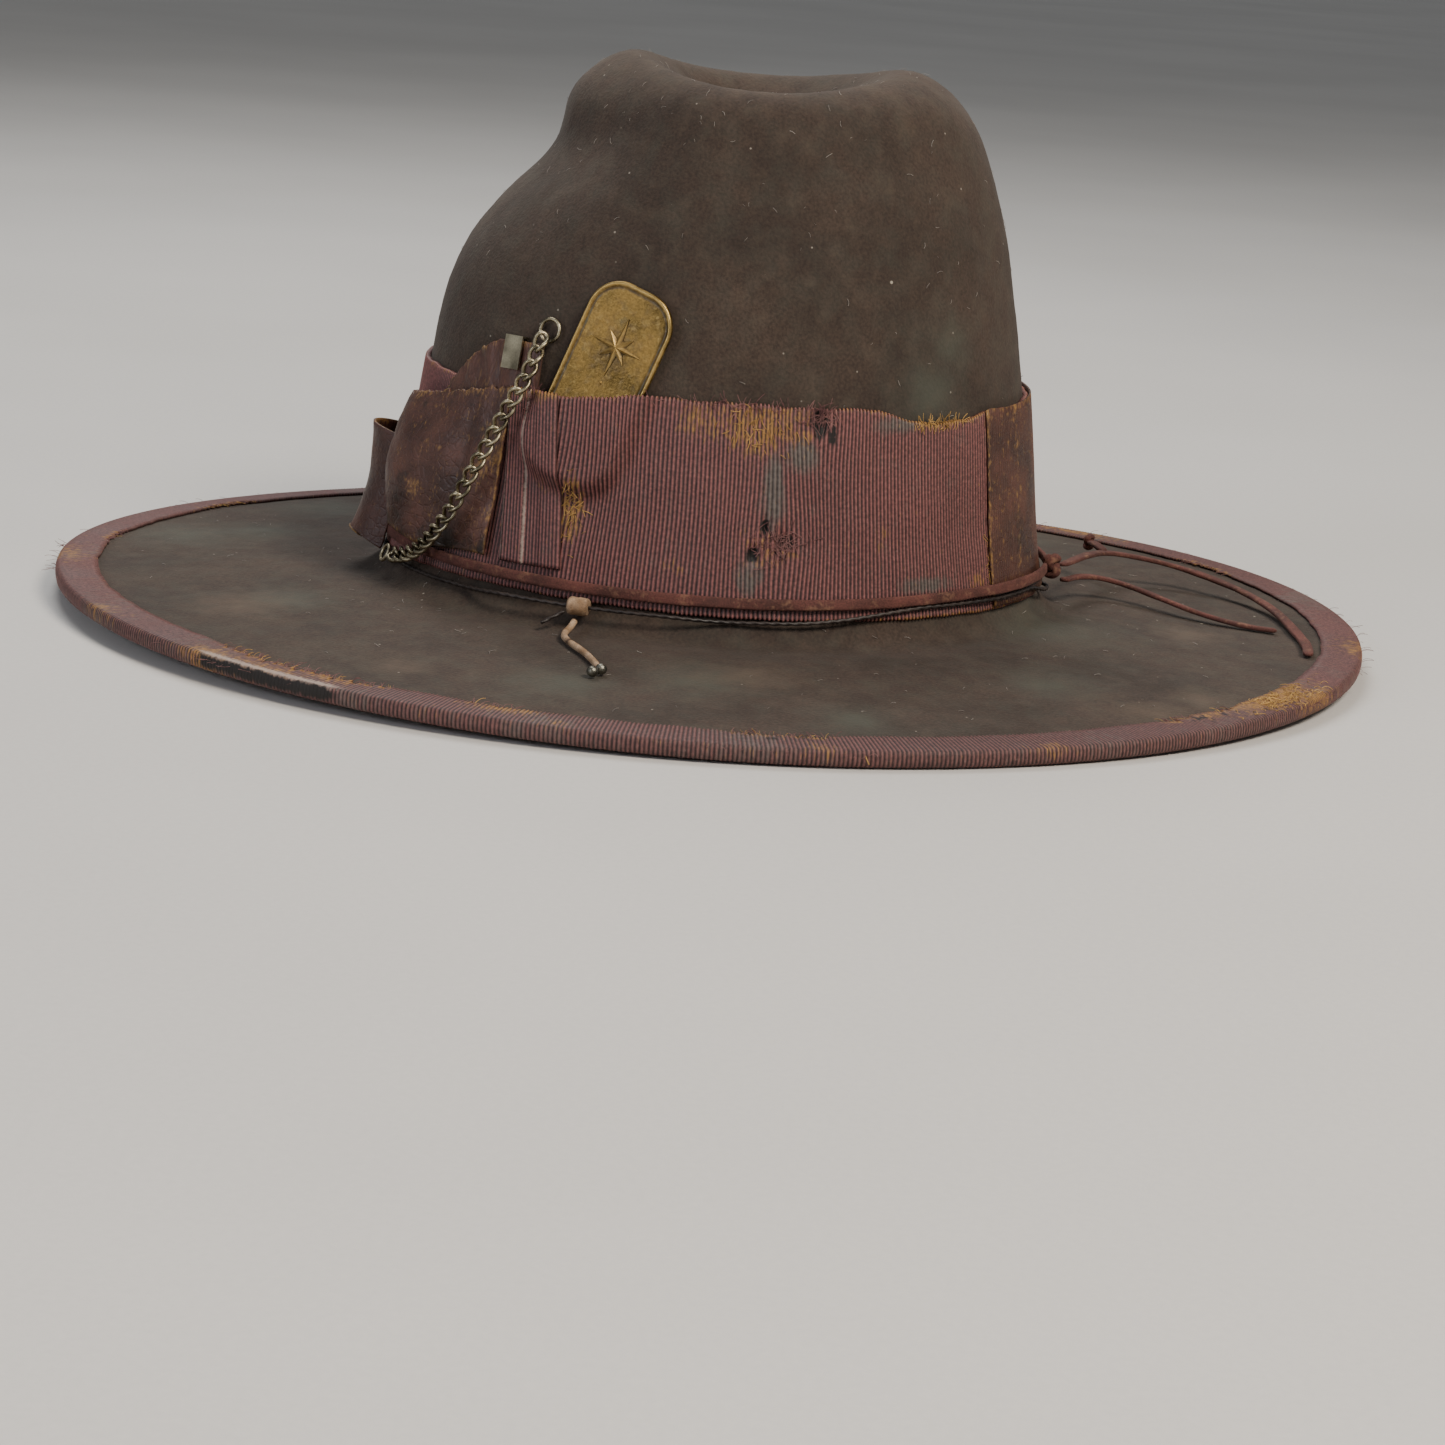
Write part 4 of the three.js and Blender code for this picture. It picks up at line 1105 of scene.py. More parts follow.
@dataclass
class CordAndBarrel:
    """The waxed cord round the brim's break, the rolled barrel on it and the beaded tail."""

    radius: float = 0.6
    twist: float = 3.2
    barrel_angle: float = -21
    barrel_z: float = 4.8
    barrel_stand: float = 5
    barrel_length: float = 6
    # x, y and height above the brim
    tail_route: tuple = (
        (86.5, -37.8, 3.7), (88.8, -38.8, 2.5), (92.2, -39.8, 1.8), (96.4, -40, 1.5),
        (100.8, -39, 1.5), (105, -37.2, 1.5), (109.2, -35, 1.5), (113.4, -33, 1.5),
        (117.6, -31.4, 1.5), (121.6, -30, 1.5), (125.2, -29, 1.5),
    )
    stub_route: tuple = ((83.6, -41, 5.3), (84.8, -44, 4.2), (86, -47.2, 2.6))
    beads: tuple = ((127.9, -28.2, 2), (130.6, -30.4, 2))

    def _ply(self, line: np.ndarray, out: np.ndarray, radius: float, sides: int = 12) -> np.ndarray:
        """Rings of a two-ply cord."""
        along = np.concatenate([[0], np.cumsum(np.linalg.norm(np.diff(line, axis=0), axis=1))])
        turn = np.linspace(0, 2 * math.pi, sides, endpoint=False)
        phase = 2 * (turn[None] - math.pi * along[:, None] / self.twist)
        size = radius * (0.9 + 0.16 * np.cos(phase))
        section = np.stack([size * np.cos(turn), size * np.sin(turn)], axis=-1)
        return sweep(line, out, section)

    def _bead(self, name: str, centre: np.ndarray, radius: float) -> bpy.types.Object:
        """A small cast bead with two grooves."""
        rise = np.linspace(-math.pi / 2 + 0.2, math.pi / 2 - 0.2, 22)
        size = radius * np.cos(rise) * (1 - 0.1 * bump(np.sin(rise) / 0.1) + 0.05 * np.cos(9 * rise))
        path = centre + np.outer(np.sin(rise) * radius, [0.86, 0.5, 0])
        turn = np.linspace(0, 2 * math.pi, 24, endpoint=False)
        section = size[:, None, None] * np.stack([np.cos(turn), np.sin(turn)], axis=-1)[None]
        return loft(name, sweep(path, np.tile([0, 0, 1.0], (22, 1)), section))

    def build_tail(self) -> None:
        """The rolled hide tail with its two beads."""
        line = smooth_path(SKIN.on_brim(list(self.tail_route)), 90)
        up = np.tile([0.0, 0.0, 1.0], (len(line), 1))
        along = np.linspace(0, 1, len(line))
        size = 1 + 0.07 * roughness_of(line, 3) - 0.12 * bump((along - 0.42) / 0.02)
        section = oval(1.9, 1.9, 12)[None] * size[:, None, None]
        rings = sweep(line, up, section)
        # Painted shade in the pinched groove, with random darker blotches.
        gap = np.clip(bump((along - 0.42) / 0.02)[:, None] + 0.3 * roughness_of(rings, 3), 0, 1)
        strip = loft("hide_tail", rings, values={"gap": gap})
        strip = settle(strip, RAWHIDE, TAIL, ("barrel_tail",))
        for i, place in enumerate(SKIN.on_brim(list(self.beads)), 1):
            bead = self._bead(f"pewter_bead_{i}", place, 1.6)
            settle(bead, PEWTER, TAIL, (f"tail_bead_{i}",))
        path = smooth_path(SKIN.on_brim(list(self.tail_route)), 24)

    def build(self) -> None:
        """The cord, the barrel and the short end of the cord."""
        angle = np.linspace(97, 96.2 + 360, 1300)
        far = np.abs(turn_between(angle, self.barrel_angle)) - 12
        swing = 1 - smoothstep(far, 0, 14)
        place = turn_between(angle, 0)
        lift = smoothstep(place, 12, 40) * (1 - smoothstep(place, 68, 84))
        clear = smoothstep(place, 0, 14) * (1 - smoothstep(place, 84, 95))
        z = 5.7 + (self.barrel_z - 5.7) * swing + 4.5 * lift
        stand = 0.95 + (self.barrel_stand - 0.95) * swing + (1.6 + 0.9 * smoothstep(place, 46, 55)) * clear
        line = SKIN.wall(angle, z, stand)
        out = SKIN.normal(angle, SKIN.along_wall(z))
        cord = loft("cord_two_ply", self._ply(line, out, self.radius))
        settle(cord, WAXED_CORD, HAT, ("waxed_cord",))
        stub_line = smooth_path(SKIN.on_brim(list(self.stub_route)), 24)
        rings = self._ply(stub_line, np.tile([0, 0, 1.0], (24, 1)), self.radius)
        settle(loft("cord_cut_end", rings), WAXED_CORD, BARREL, ("cord_stub",))
        settle(self._barrel(), RAWHIDE, BARREL, ("cord_barrel",))

    def _barrel(self) -> bpy.types.Object:
        """A strip of hide rolled into a barrel, its end showing as a spiral step."""
        centre = SKIN.wall(self.barrel_angle, self.barrel_z, self.barrel_stand)
        nearby = SKIN.wall(self.barrel_angle + 1, self.barrel_z, self.barrel_stand)
        ahead = unit(nearby - centre)
        half = self.barrel_length / 2
        place = np.array([
            -half, -half, -half + 0.3, -half + 0.7, *np.linspace(-2, 2, 9),
            half - 0.7, half - 0.3, half, half,
        ])
        waist = 2.5 + 0.06 * np.cos(np.linspace(0, 9, 9))
        size = np.array([1.0, 2.05, 2.35, 2.5, *waist, 2.5, 2.35, 2.05, 1.0])
        turn = np.linspace(0, 2 * math.pi, 40, endpoint=False)
        lip = 0.16 * (1 - turn / (2 * math.pi))
        grown = size[:, None] + lip * (size[:, None] > 1.5)
        section = np.stack([np.cos(turn), np.sin(turn)], axis=-1)[None] * grown[..., None]
        path = centre + np.outer(place, ahead)
        across = unit(np.cross([0, 0, 1.0], ahead))
        above = np.cross(ahead, across)
        rings = path[:, None] + section[..., :1] * across + section[..., 1:] * above
        # Random darker blotches, and both ends darker.
        blotched_darker_at_ends = np.clip(0.4 * roughness_of(rings, 2.5) + 0.5 * (np.abs(place) > 2.6)[:, None], 0, 1)
        return loft("hide_barrel", rings, values={"gap": blotched_darker_at_ends})


# ------------------------------------------------------------------ felt and binding


@dataclass
class FeltBody:
    """Crown and brim, blocked from one piece of felt."""

    columns: int = 420
    # x, y and radius of faded stains on the brim, in mm
    brim_stains: tuple = (
        (39, 101, 14), (137, -38, 9), (126, -2, 10), (-28, -165, 12), (-37, -145, 10),
        (62, -122, 8), (100, 96, 9), (150, 40, 7), (-120, 90, 16), (-90, -130, 12),
    )
    # angle, height and radius of bleached places on the crown
    wall_stains: tuple = ((41.4, 71, 7), (48, 84, 5), (150, 90, 12), (-120, 95, 9))
    # angle, distance from the brim's edge and radius of rubbed places
    rubs: tuple = ((44, 18, 7), (52, 20, 6), (-60, 40, 9), (5, 60, 8), (80, 50, 7), (-30, 30, 6))
    rim_rub_width: float = 9

    def _levels(self) -> np.ndarray:
        """Distances along the rows, closer where the skin bends."""
        row = SKIN.station
        parts = [
            np.linspace(0, row[3], 34)[:-1], np.linspace(row[3], row[6], 16)[:-1],
            np.linspace(row[6], row[10], 30)[:-1], np.linspace(row[10], row[16], 46)[:-1],
            np.linspace(row[16], SKIN.pole - 0.6, 14),
        ]
        return np.concatenate(parts)

    def _marks(self, points: np.ndarray, along: np.ndarray) -> dict[str, np.ndarray]:
        """Stains and rubbed places as attributes."""
        stained, scuffed = np.zeros(points.shape[:-1]), np.zeros(points.shape[:-1])
        for x, y, radius in self.brim_stains:
            far = np.hypot(points[..., 0] - x, points[..., 1] - y)
            stained = np.maximum(stained, bump(far / radius) * (points[..., 2] < 8))
        for angle, z, radius in self.wall_stains:
            far = np.linalg.norm(points - SKIN.wall(angle, z, 0.0), axis=-1)
            stained = np.maximum(stained, bump(far / radius))
        for angle, reach, radius in self.rubs:
            far = np.linalg.norm(points - SKIN.point(angle, reach), axis=-1)
            scuffed = np.maximum(scuffed, 0.8 * bump(far / radius))
        rim = bump((along - SKIN.station[14]) / self.rim_rub_width)
        return {"stained": stained, "scuffed": np.maximum(scuffed, 0.3 * rim * np.ones_like(scuffed))}

    def build(self) -> None:
        """The felt and the lint that clings to it."""
        angle = np.linspace(0, 360, self.columns, endpoint=False)[:, None]
        along = self._levels()[None]
        plain = SKIN.point(angle, along)
        out = SKIN.normal(angle, along)
        uneven = 0.35 * roughness_of(plain, 22) + 0.1 * roughness_of(plain, 4, 2)
        calm = smoothstep(along, 9, 20) * smoothstep(SKIN.pole - along, 0, 8)
        under_tail = bump(np.hypot(plain[..., 0] - 112, plain[..., 1] + 34) / 26)
        calm = calm * (1 - 0.95 * under_tail)
        worked = plain + out * (uneven * calm)[..., None]
        inner_along = np.concatenate([self._levels()[::3], [SKIN.pole - 0.6]])[None]
        inward = -SKIN.thickness * np.ones((self.columns, inner_along.shape[1]))
        inner = SKIN.offset(angle, inner_along, inward)
        piece = self._capped(Sheet(worked, self._marks(plain, along)), inner)
        settle(piece, FELT, HAT, ("felt_body",))
        self._lint(plain, out)

    def _capped(self, outer: Sheet, inner: np.ndarray) -> bpy.types.Object:
        """The two skins joined at the brim's edge and closed at the pole."""
        n, m, k = *outer.points.shape[:2], inner.shape[1]
        front = np.arange(n * m).reshape(n, m)
        back = n * m + np.arange(n * k).reshape(n, k)
        faces = np.concatenate([
            cells(np.vstack([front, front[:1]])),
            cells(np.vstack([back, back[:1]])[:, ::-1]),
            cells(np.stack([np.append(back[:, 0], back[0, 0]), np.append(front[:, 0], front[0, 0])], -1)),
        ]).tolist()
        faces += [front[::-1, -1].tolist(), back[:, -1].tolist()]
        points = np.concatenate([outer.points.reshape(-1, 3), inner.reshape(-1, 3)])
        values = {
            key: np.concatenate([value.ravel(), np.zeros(n * k)]) for key, value in outer.values.items()
        }
        return make_object("felt_crown_and_brim", points, faces, values)

    def _lint(self, points: np.ndarray, out: np.ndarray) -> None:
        """Short pale fibres lying on the felt."""
        random = np.random.default_rng(11)
        rows = random.integers(0, points.shape[0], 620)
        levels = random.integers(8, points.shape[1] - 6, 620)
        start, up = points[rows, levels] + out[rows, levels] * 0.12, out[rows, levels]
        lie = unit(np.cross(up, unit(random.normal(size=(620, 3)))))
        threads = Threads("felt_lint", 1.5, 0.05, 0.3, 5, LINT)
        settle(threads.make(start, up, lie), LINT, HAT, ())


@dataclass
class BrimBinding:
    """Grosgrain folded over the brim's edge, ribbed across, frayed and rubbed through."""

    cover: float = 11
    cloth: float = 0.9
    gap: float = 0.35
    edge: float = 0.5
    length: float = 1195
    # angle, half width in degrees and depth of places where the inner edge is torn back
    tears: tuple = (
        (-40, 3.2, 4.5), (-33, 3.5, 5.5), (-28, 2.0, 3.0), (-16, 2.5, 2.5), (4, 2.0, 3.0),
        (9, 1.2, 4.2), (43, 1.6, 3.2), (50, 1.4, 3.6), (120, 4, 3), (-120, 3, 3.5), (-95, 2.5, 3),
    )
    # angle, half width in degrees, distance over the edge, reach and strength of rubbed places
    rubs: tuple = (
        (-43, 2.2, 0, 4, 0.7), (-37, 4, 1, 3, 0.6), (-31, 2, 6, 3, 0.65), (-16, 2.6, 8, 3, 0.7),
        (-11, 1, 2, 2, 0.5), (5, 1.6, 9, 2.5, 0.55), (9, 1, 1, 2.5, 0.5), (57, 5.5, 7, 4, 0.85),
        (61, 3, 0, 3, 0.7), (47, 1.5, 8, 2.5, 0.6), (-84, 3, 1, 5, 0.5), (82, 3, 1, 4, 0.5),
        (-60, 2, 0, 3, 0.5), (28, 1.5, 0, 2, 0.45), (140, 5, 3, 4, 0.6), (-150, 4, 2, 4, 0.6),
    )

    def build(self) -> None:
        """The binding, its frays and a hanging thread."""
        columns = RIBS.count(self.length)
        angle = np.linspace(0, 360, columns, endpoint=False)
        rib = RIBS.profile(columns)
        cover = self._cover(angle, rib)
        outer, cloth = self._skin(angle, cover, self.gap + self.cloth, self.edge + self.cloth, 7)
        inner, _ = self._skin(angle, cover - 0.2, self.gap, self.edge, 3)
        out = self._outward(outer)
        lift = (rib - 0.75) * 0.24
        outer = outer + out * lift[:, None, None]
        worn = self._rubbed(angle, cloth[..., 1])
        torn = smoothstep(11.4 - cover, 0.8, 3)[:, None]
        edge = bump((cloth[..., 1] - cover[:, None]) / 1.2) * torn
        crest = rib[:, None] * np.ones(outer.shape[1])
        values = {
            "cloth": np.concatenate([cloth, np.zeros((*cloth.shape[:2], 1))], -1) * MM,
            "worn": np.clip(np.maximum(worn, 0.7 * edge), 0, 1),
            # Painted highlight on the rib crests and painted shade between the ribs.
            "crest": np.clip(0.9 * crest - 0.25, 0, 1),
            "gap": np.clip(1.1 - 1.3 * crest, 0, 1),
            "greyed": np.clip(0.5 * roughness_of(outer, 30, 2), 0, 0.55),
            "selvedge": self._split(angle, cloth[..., 1], 0.1),
            "scorched": np.maximum(
                self._split(angle, cloth[..., 1], -1.9), self._holes(angle, cloth[..., 1], outer)
            ),
        }
        piece = shell("brim_binding_ribbed", Sheet(outer, values), inner, ring=True)
        settle(piece, BINDING_GROSGRAIN, HAT, ("brim_binding",))
        self._frays(angle, cover, outer, out)

    def _cover(self, angle: np.ndarray, rib: np.ndarray) -> np.ndarray:
        """Width of ribbon on each face of the brim, scalloped and torn."""
        place = np.stack([angle * 3.3, np.zeros_like(angle), np.zeros_like(angle)], -1)
        cover = self.cover - 0.3 + 0.6 * roughness_of(place, 14) - 0.55 * (1 - rib)
        ragged = 0.6 + 0.6 * roughness_of(place, 2.2)
        for middle, half, depth in self.tears:
            cover = cover - depth * bump(turn_between(angle, middle) / half) * ragged
        return np.clip(cover, 4.5, 11.6)

    def _skin(self, angle: np.ndarray, cover: np.ndarray, over: float, reach: float, steps: int) -> tuple:
        """One face of the folded ribbon: over the top, round the edge and under.

        Args:
            angle: degrees round the brim.
            cover: width on the upper face at each angle.
            over: height above the felt.
            reach: how far the fold stands out past the felt's edge.
            steps: points across each face.

        Returns:
            The points and, for each, how far it is round and across, in mm.
        """
        share = np.linspace(1, 0, steps)
        radial = np.stack([np.cos(np.radians(angle)), np.sin(np.radians(angle)), 0 * angle], -1)
        angles = angle[:, None]
        top = SKIN.point(angles, cover[:, None] * share)
        low = SKIN.point(angles, self.cover * share[::-1])
        rim = SKIN.point(angle, 0.0)
        top[..., 2] += over - 0.25 * share**12
        low[..., 2] -= SKIN.thickness + over
        half = SKIN.thickness / 2 + over
        bend = np.radians([60, 25, -10, -45])
        fold = rim[:, None] + radial[:, None] * (reach * np.cos(bend) ** 0.6)[:, None]
        fold[..., 2] += -SKIN.thickness / 2 + half * np.sin(bend)
        points = np.concatenate([top, fold, low], axis=1)
        on_top = cover[:, None] * share
        round_edge = np.tile([-0.8, -1.6, -2.4, -3.2], (len(angle), 1))
        beneath = -4 - self.cover * share[::-1] * np.ones((len(angle), 1))
        across = np.concatenate([on_top, round_edge, beneath], axis=1)
        along = np.broadcast_to(angle[:, None] * self.length / 360, across.shape)
        return points, np.stack([along, across], -1)

    def _outward(self, points: np.ndarray) -> np.ndarray:
        """Directions away from the ribbon's outer face."""
        turn = np.roll(points, -4, axis=0) - np.roll(points, 4, axis=0)
        over = np.gradient(points, axis=1)
        out = unit(np.cross(turn, over))
        return out * np.sign(out[:, :1, 2:3])

    def _split(self, angle: np.ndarray, across: np.ndarray, place: float) -> np.ndarray:
        """A line of colour along the fold, where the ribbon is most worn; the mesh isn't cut."""
        long = 1 - smoothstep(np.abs(turn_between(angle, -36.5)), 6, 8.5)
        return long[:, None] * bump((across - place) / 0.9)

    def _holes(self, angle: np.ndarray, across: np.ndarray, points: np.ndarray) -> np.ndarray:
        """Small dark flecks of colour on the ribbon's upper face; the mesh isn't pierced."""
        long = bump(turn_between(angle, 47.5) / 3.5) + 0.7 * bump(turn_between(angle, 6) / 3)
        broken = smoothstep(roughness_of(points, 2.6), 0.12, 0.3)
        return np.clip(long[:, None] * bump((across - 6.5) / 2.6) * broken, 0, 1)

    def _rubbed(self, angle: np.ndarray, across: np.ndarray) -> np.ndarray:
        """Where the ribs are rubbed through to the cords."""
        total = 0.05 * bump((across + 1.5) / 1.6)
        for middle, half, place, reach, strength in self.rubs:
            near = strength * bump(turn_between(angle, middle) / half)[:, None]
            total = np.maximum(total, near * bump((across - place) / reach))
        return total

    def _frays(self, angle: np.ndarray, cover: np.ndarray, outer: np.ndarray, out: np.ndarray) -> None:
        """Threads that stand out of torn places, and one that hangs."""
        random = np.random.default_rng(23)
        torn = np.flatnonzero(self.cover - cover > 1.8)
        inward = -unit(outer[:, 0] * [1, 1, 0])
        for name, count, length, finish in (
            ("binding_frays_ochre", 70, 2.6, OCHRE_THREAD), ("binding_frays_mauve", 300, 2.4, MAUVE_THREAD),
        ):
            pick = np.sort(random.choice(torn, count))
            threads = Threads(name, length, 0.06, 0.5, 9 + count, finish)
            settle(threads.make(outer[pick, 0], out[pick, 0], inward[pick]), finish, HAT, ())
        patch = np.argmin(np.abs(turn_between(angle[None], random.normal(57.5, 3.2, 190)[:, None])), axis=1)
        over = random.integers(1, 7, 190)
        wild = unit(np.cross(out[patch, over], random.normal(size=(190, 3))))
        tuft = Threads("binding_tuft", 2.2, 0.09, 0.9, 77, OCHRE_THREAD)
        settle(tuft.make(outer[patch, over], out[patch, over], wild), OCHRE_THREAD, HAT, ())
        near = np.maximum.reduce([
            bump(turn_between(angle, a) / w)
            for a, w in ((-84, 7), (83, 7), (-38, 6), (6, 4), (57, 6), (12, 2), (180, 40))
        ])
        weight = near / near.sum()
        rim = random.choice(len(angle), 240, p=weight)
        fold = 8
        fuzz = Threads("binding_fuzz", 3.0, 0.05, 0.8, 31, MAUVE_THREAD)
        settle(fuzz.make(outer[rim, fold], out[rim, fold], -inward[rim]), MAUVE_THREAD, HAT, ())
        at = int(np.argmin(np.abs(turn_between(angle, 12.4))))
        start = outer[at, fold]
        line = smooth_path([start, start + [1.2, 0.4, -0.8], start + [1.4, 1.0, -1.9]], 12)
        rings = sweep(line, np.tile([1.0, 0, 0.3], (12, 1)), oval(0.3, 0.3, 6))
        settle(loft("binding_loose_thread", rings), OCHRE_THREAD, HAT, ())


# ------------------------------------------------------------------ the tag


@dataclass
class BrassTag:
    """The cast tag that stands in the band's pocket, with a plain compass star on it."""

    width: float = 27
    length: float = 58
    plate: float = 1.2
    corner: float = 10
    rim: float = 1.5
    recess: float = 0.4
    star_up: float = 11
    seat: WallFrame = WallFrame(-23, 69, 0.6, 19)

    def depth_in(self, x: np.ndarray, y: np.ndarray) -> np.ndarray:
        """How far a place is inside the tag's outline, in mm; negative outside."""
        qx = np.abs(x) - (self.width / 2 - self.corner)
        qy = np.abs(y) - (self.length / 2 - self.corner)
        outside = np.hypot(np.maximum(qx, 0), np.maximum(qy, 0))
        return self.corner - outside - np.minimum(np.maximum(qx, qy), 0)

    def bulge(self, points: np.ndarray) -> np.ndarray:
        """How much the tag lifts the cloth over it, from 0 to 1."""
        local = self.seat.local(points)
        near = np.abs(local[..., 2]) < self.length / 2
        return smoothstep(self.depth_in(local[..., 0], local[..., 1]), -5.0, 1.0) * near

    def build(self) -> None:
        """The plate and the star."""
        settle(self._plate(), TAG_BRASS, TAG, ("brass_tag",))
        settle(self._star(), TAG_BRASS, TAG, ("tag_emblem",))

    def _outline(self, turn: np.ndarray) -> np.ndarray:
        """Points of the rounded outline, by direction."""
        reach = np.linspace(0, 40, 400)
        far = self.depth_in(np.outer(np.cos(turn), reach), np.outer(np.sin(turn), reach))
        edge = np.array([np.interp(0, -row, reach) for row in far])
        return edge[:, None] * np.stack([np.cos(turn), np.sin(turn)], -1)

    def _plate(self) -> bpy.types.Object:
        """A plate with a beaded rim round a sunken, pitted field."""
        turn = np.linspace(0, 2 * math.pi, 420, endpoint=False)
        edge = self._outline(turn)
        rim_steps = [0, 0.012, 0.03, 0.05, 0.07, 0.09, 0.11, 0.125, 0.14, 0.16]
        share = 1 - np.concatenate([rim_steps, np.linspace(0.18, 0.995, 34)])
        flat = edge[:, None] * share[None, :, None]
        inset = self.depth_in(flat[..., 0], flat[..., 1])
        rim = smoothstep(inset, 0.0, 0.5) * (1 - smoothstep(inset, self.rim - 0.5, self.rim))
        ring = bump((inset - self.rim - 0.3) / 0.25)
        cast = np.concatenate([flat, np.zeros((*flat.shape[:2], 1))], -1)
        pits = roughness_of(cast, 2.4)
        top = self.plate - self.recess + rim * (self.recess + 0.25) - 0.16 * ring
        top = top - 0.3 * (1 - smoothstep(inset, 0.0, 0.35)) + 0.035 * pits * (1 - rim)
        upper = np.concatenate([flat, top[..., None]], -1)
        lower = np.concatenate([flat[:, :1], np.full((420, 1, 1), 0.15)], -1)
        base = np.concatenate([flat[:, 1:2], np.zeros((420, 1, 1))], -1)
        rows = np.concatenate([base, lower, upper], axis=1)
        stars = np.hypot(flat[..., 0] / 4.5, (flat[..., 1] - self.star_up) / 5.5)
        recess = np.concatenate([np.ones((420, 2)), ring + 0.45 * bump(stars) + 0.25 * pits], 1)
        green = np.concatenate([np.zeros((420, 2)), 0.5 * ring + 0.4 * roughness_of(cast + 9, 6)], 1)
        rub = np.concatenate([np.zeros((420, 2)), rim + 0.25 * pits], 1)
        values = {
            "recess": np.clip(recess, 0, 1),
            "verdigris": np.clip(green, 0, 1),
            "rubbed": np.clip(rub, 0, 1),
        }
        placed = self.seat.place(rows)
        n, m = rows.shape[:2]
        index = np.arange(n * m).reshape(n, m)
        faces = cells(np.vstack([index, index[:1]])).tolist()
        faces += [index[::-1, -1].tolist(), index[:, 0].tolist()]
        flat_values = {key: value.reshape(-1) for key, value in values.items()}
        return make_object("cast_tag_plate", placed.reshape(-1, 3), faces, flat_values)

    def _star(self) -> bpy.types.Object:
        """A faceted star: each arm a ridge that falls to its edges."""
        arms, points, faces, rub = 16, [[0, 0, 1.25]], [], [1.0]
        for i in range(arms):
            reach = (8.6 if i % 4 == 0 else 5.4) if i % 2 == 0 else 2.5
            turn = 2 * math.pi * i / arms
            x, y = -reach * math.sin(turn), reach * math.cos(turn)
            points += [[x, y, 0.3 if i % 2 == 0 else 0.2], [x * 1.03, y * 1.03, -0.05]]
            rub += [0.8 if i % 2 == 0 else 0.1, 0.0]
        points.append([0, 0, -0.05])
        rub.append(0.0)
        base = len(points) - 1
        for i in range(arms):
            a, b = 1 + 2 * i, 1 + 2 * ((i + 1) % arms)
            faces += [[0, a, b], [a, a + 1, b + 1, b], [base, b + 1, a + 1]]
        lift = np.array(points) + [0, self.star_up, self.plate - self.recess + 0.1]
        values = {"rubbed": np.array(rub), "recess": 1 - np.array(rub), "verdigris": 0.2 * np.ones(len(rub))}
        star = make_object("cast_compass_star", self.seat.place(lift), faces, values)
        star.data.shade_flat()
        return star


TAG_PIECE = BrassTag()


# ------------------------------------------------------------------ band and bow


